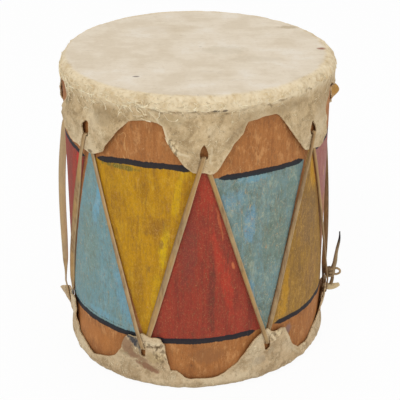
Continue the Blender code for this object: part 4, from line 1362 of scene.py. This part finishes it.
def fibreMaterial():
    board = Paint("hideFibre", 0.6)
    weave = board.grain((0.2, 0.2, 0.2), 3.0, 0.6, 5.0)
    colour = board.lay((248, 236, 204), (weave, 0.4, 0.65, 1, (224, 200, 156)))
    return board.finish(colour, 0.55 + weave * 0.1, weave, 0.0002, 0.4)


print("building heads")
hideObjects = {}
for head, key in ((topHead, "top"), (bottomHead, "bottom")):
    hide = makeHead(head)
    hide.data.materials.append(hideMaterial(key + "Hide", key))
    hide.data.materials.append(cutEdgeMaterial(key + "CutEdge", key))
    applyModifiers(hide)
    hide.data.shade_smooth()
    hide.data.set_sharp_from_angle(angle=math.radians(grid["sharp"]))
    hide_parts(head["node"])
    hideObjects[key] = hide

print("laying fibres")
fibres = makeFibres(hideObjects["top"])
fibres.data.materials.append(fibreMaterial())

print("building log")
log = makeLog()
log.data.materials.append(logMaterial())
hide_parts("drum_shell")

print("building thong")
strip = makeThong()
strip.data.materials.append(thongMaterial())
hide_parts("lacing_thong")

# Studio: pale floor, soft sky and large lamps
studio = {
    "floor": (0.92, 0.92, 0.92, 1.0),
    "floorGlow": 0.94,
    "white": (1, 1, 1, 1),
    "aim": (0, 0, 0.14),
    "sky": 0.62,
    # name, place and size in metres, power in watts
    "lamps": (
        ("keyLamp", (-0.9, -1.5, 1.7), 1.4, 13.0),
        ("fillLamp", (1.5, -1.2, 1.0), 1.4, 6.0),
        ("overLamp", (0.1, 0.5, 2.0), 1.6, 6.0),
    ),
}


def makeFloor():
    body = bmesh.new()
    bmesh.ops.create_grid(body, x_segments=4, y_segments=4, size=4.0)
    mesh = bpy.data.meshes.new("floor")
    body.to_mesh(mesh)
    body.free()
    floor = bpy.data.objects.new("floor", mesh)
    floor.location.z = -0.0002
    bpy.context.scene.collection.objects.link(floor)
    board = Paint("floorPaint", 0.9)
    board.put("Base Color", studio["floor"])
    seen = board.node("ShaderNodeLightPath", output="Is Camera Ray") * studio["floorGlow"]
    glow = board.node("ShaderNodeEmission", {}, {"Color": studio["white"], "Strength": 1.0})
    both = board.node("ShaderNodeMixShader", {}, {0: seen, 1: Flow(board, board.shader.outputs[0]), 2: glow})
    board.feed(board.tree.nodes["Material Output"].inputs["Surface"], both)
    mesh.materials.append(board.material)


def makeSky():
    world = bpy.data.worlds.new("studioSky")
    bpy.context.scene.world = world
    world.use_nodes = True
    board = Board(world.node_tree)
    board.tree.nodes.clear()
    soft, white = (board.node("ShaderNodeBackground", {}, {"Color": studio["white"], "Strength": strength})
                   for strength in (studio["sky"], 1.0))
    share = board.node("ShaderNodeLightPath", output="Is Camera Ray")
    for name in ("Is Glossy Ray", "Is Transmission Ray"):
        share = board.most(share, board.node("ShaderNodeLightPath", output=name))
    mixed = board.node("ShaderNodeMixShader", {}, {0: share, 1: soft, 2: white})
    board.node("ShaderNodeOutputWorld", {}, {"Surface": mixed})


def makeLamps():
    aim = Vector(studio["aim"])
    for name, place, size, power in studio["lamps"]:
        light = bpy.data.lights.new(name, "AREA")
        light.shape = "DISK"
        light.size = size
        light.energy = power
        lamp = bpy.data.objects.new(name, light)
        lamp.location = place
        lamp.rotation_euler = (aim - Vector(place)).to_track_quat("-Z", "Y").to_euler()
        bpy.context.scene.collection.objects.link(lamp)


camera = {"distance": 1.0795, "elevation": 26.254, "target": (0.0042, 0.0, 0.1355), "lens": 99.86, "sensor": 36.0}


def makeCamera():
    data = bpy.data.cameras.new("camera")
    data.lens = camera["lens"]
    data.sensor_width = camera["sensor"]
    tilt = math.radians(camera["elevation"])
    away = Vector((0, -math.cos(tilt), math.sin(tilt)))
    eye = bpy.data.objects.new("camera", data)
    eye.location = Vector(camera["target"]) + away * camera["distance"]
    eye.rotation_euler = (-away).to_track_quat("-Z", "Y").to_euler()
    bpy.context.scene.collection.objects.link(eye)
    bpy.context.scene.camera = eye


print("setting up the studio")
makeFloor()
makeSky()
makeLamps()
makeCamera()
bpy.context.scene.view_settings.view_transform = "Standard"
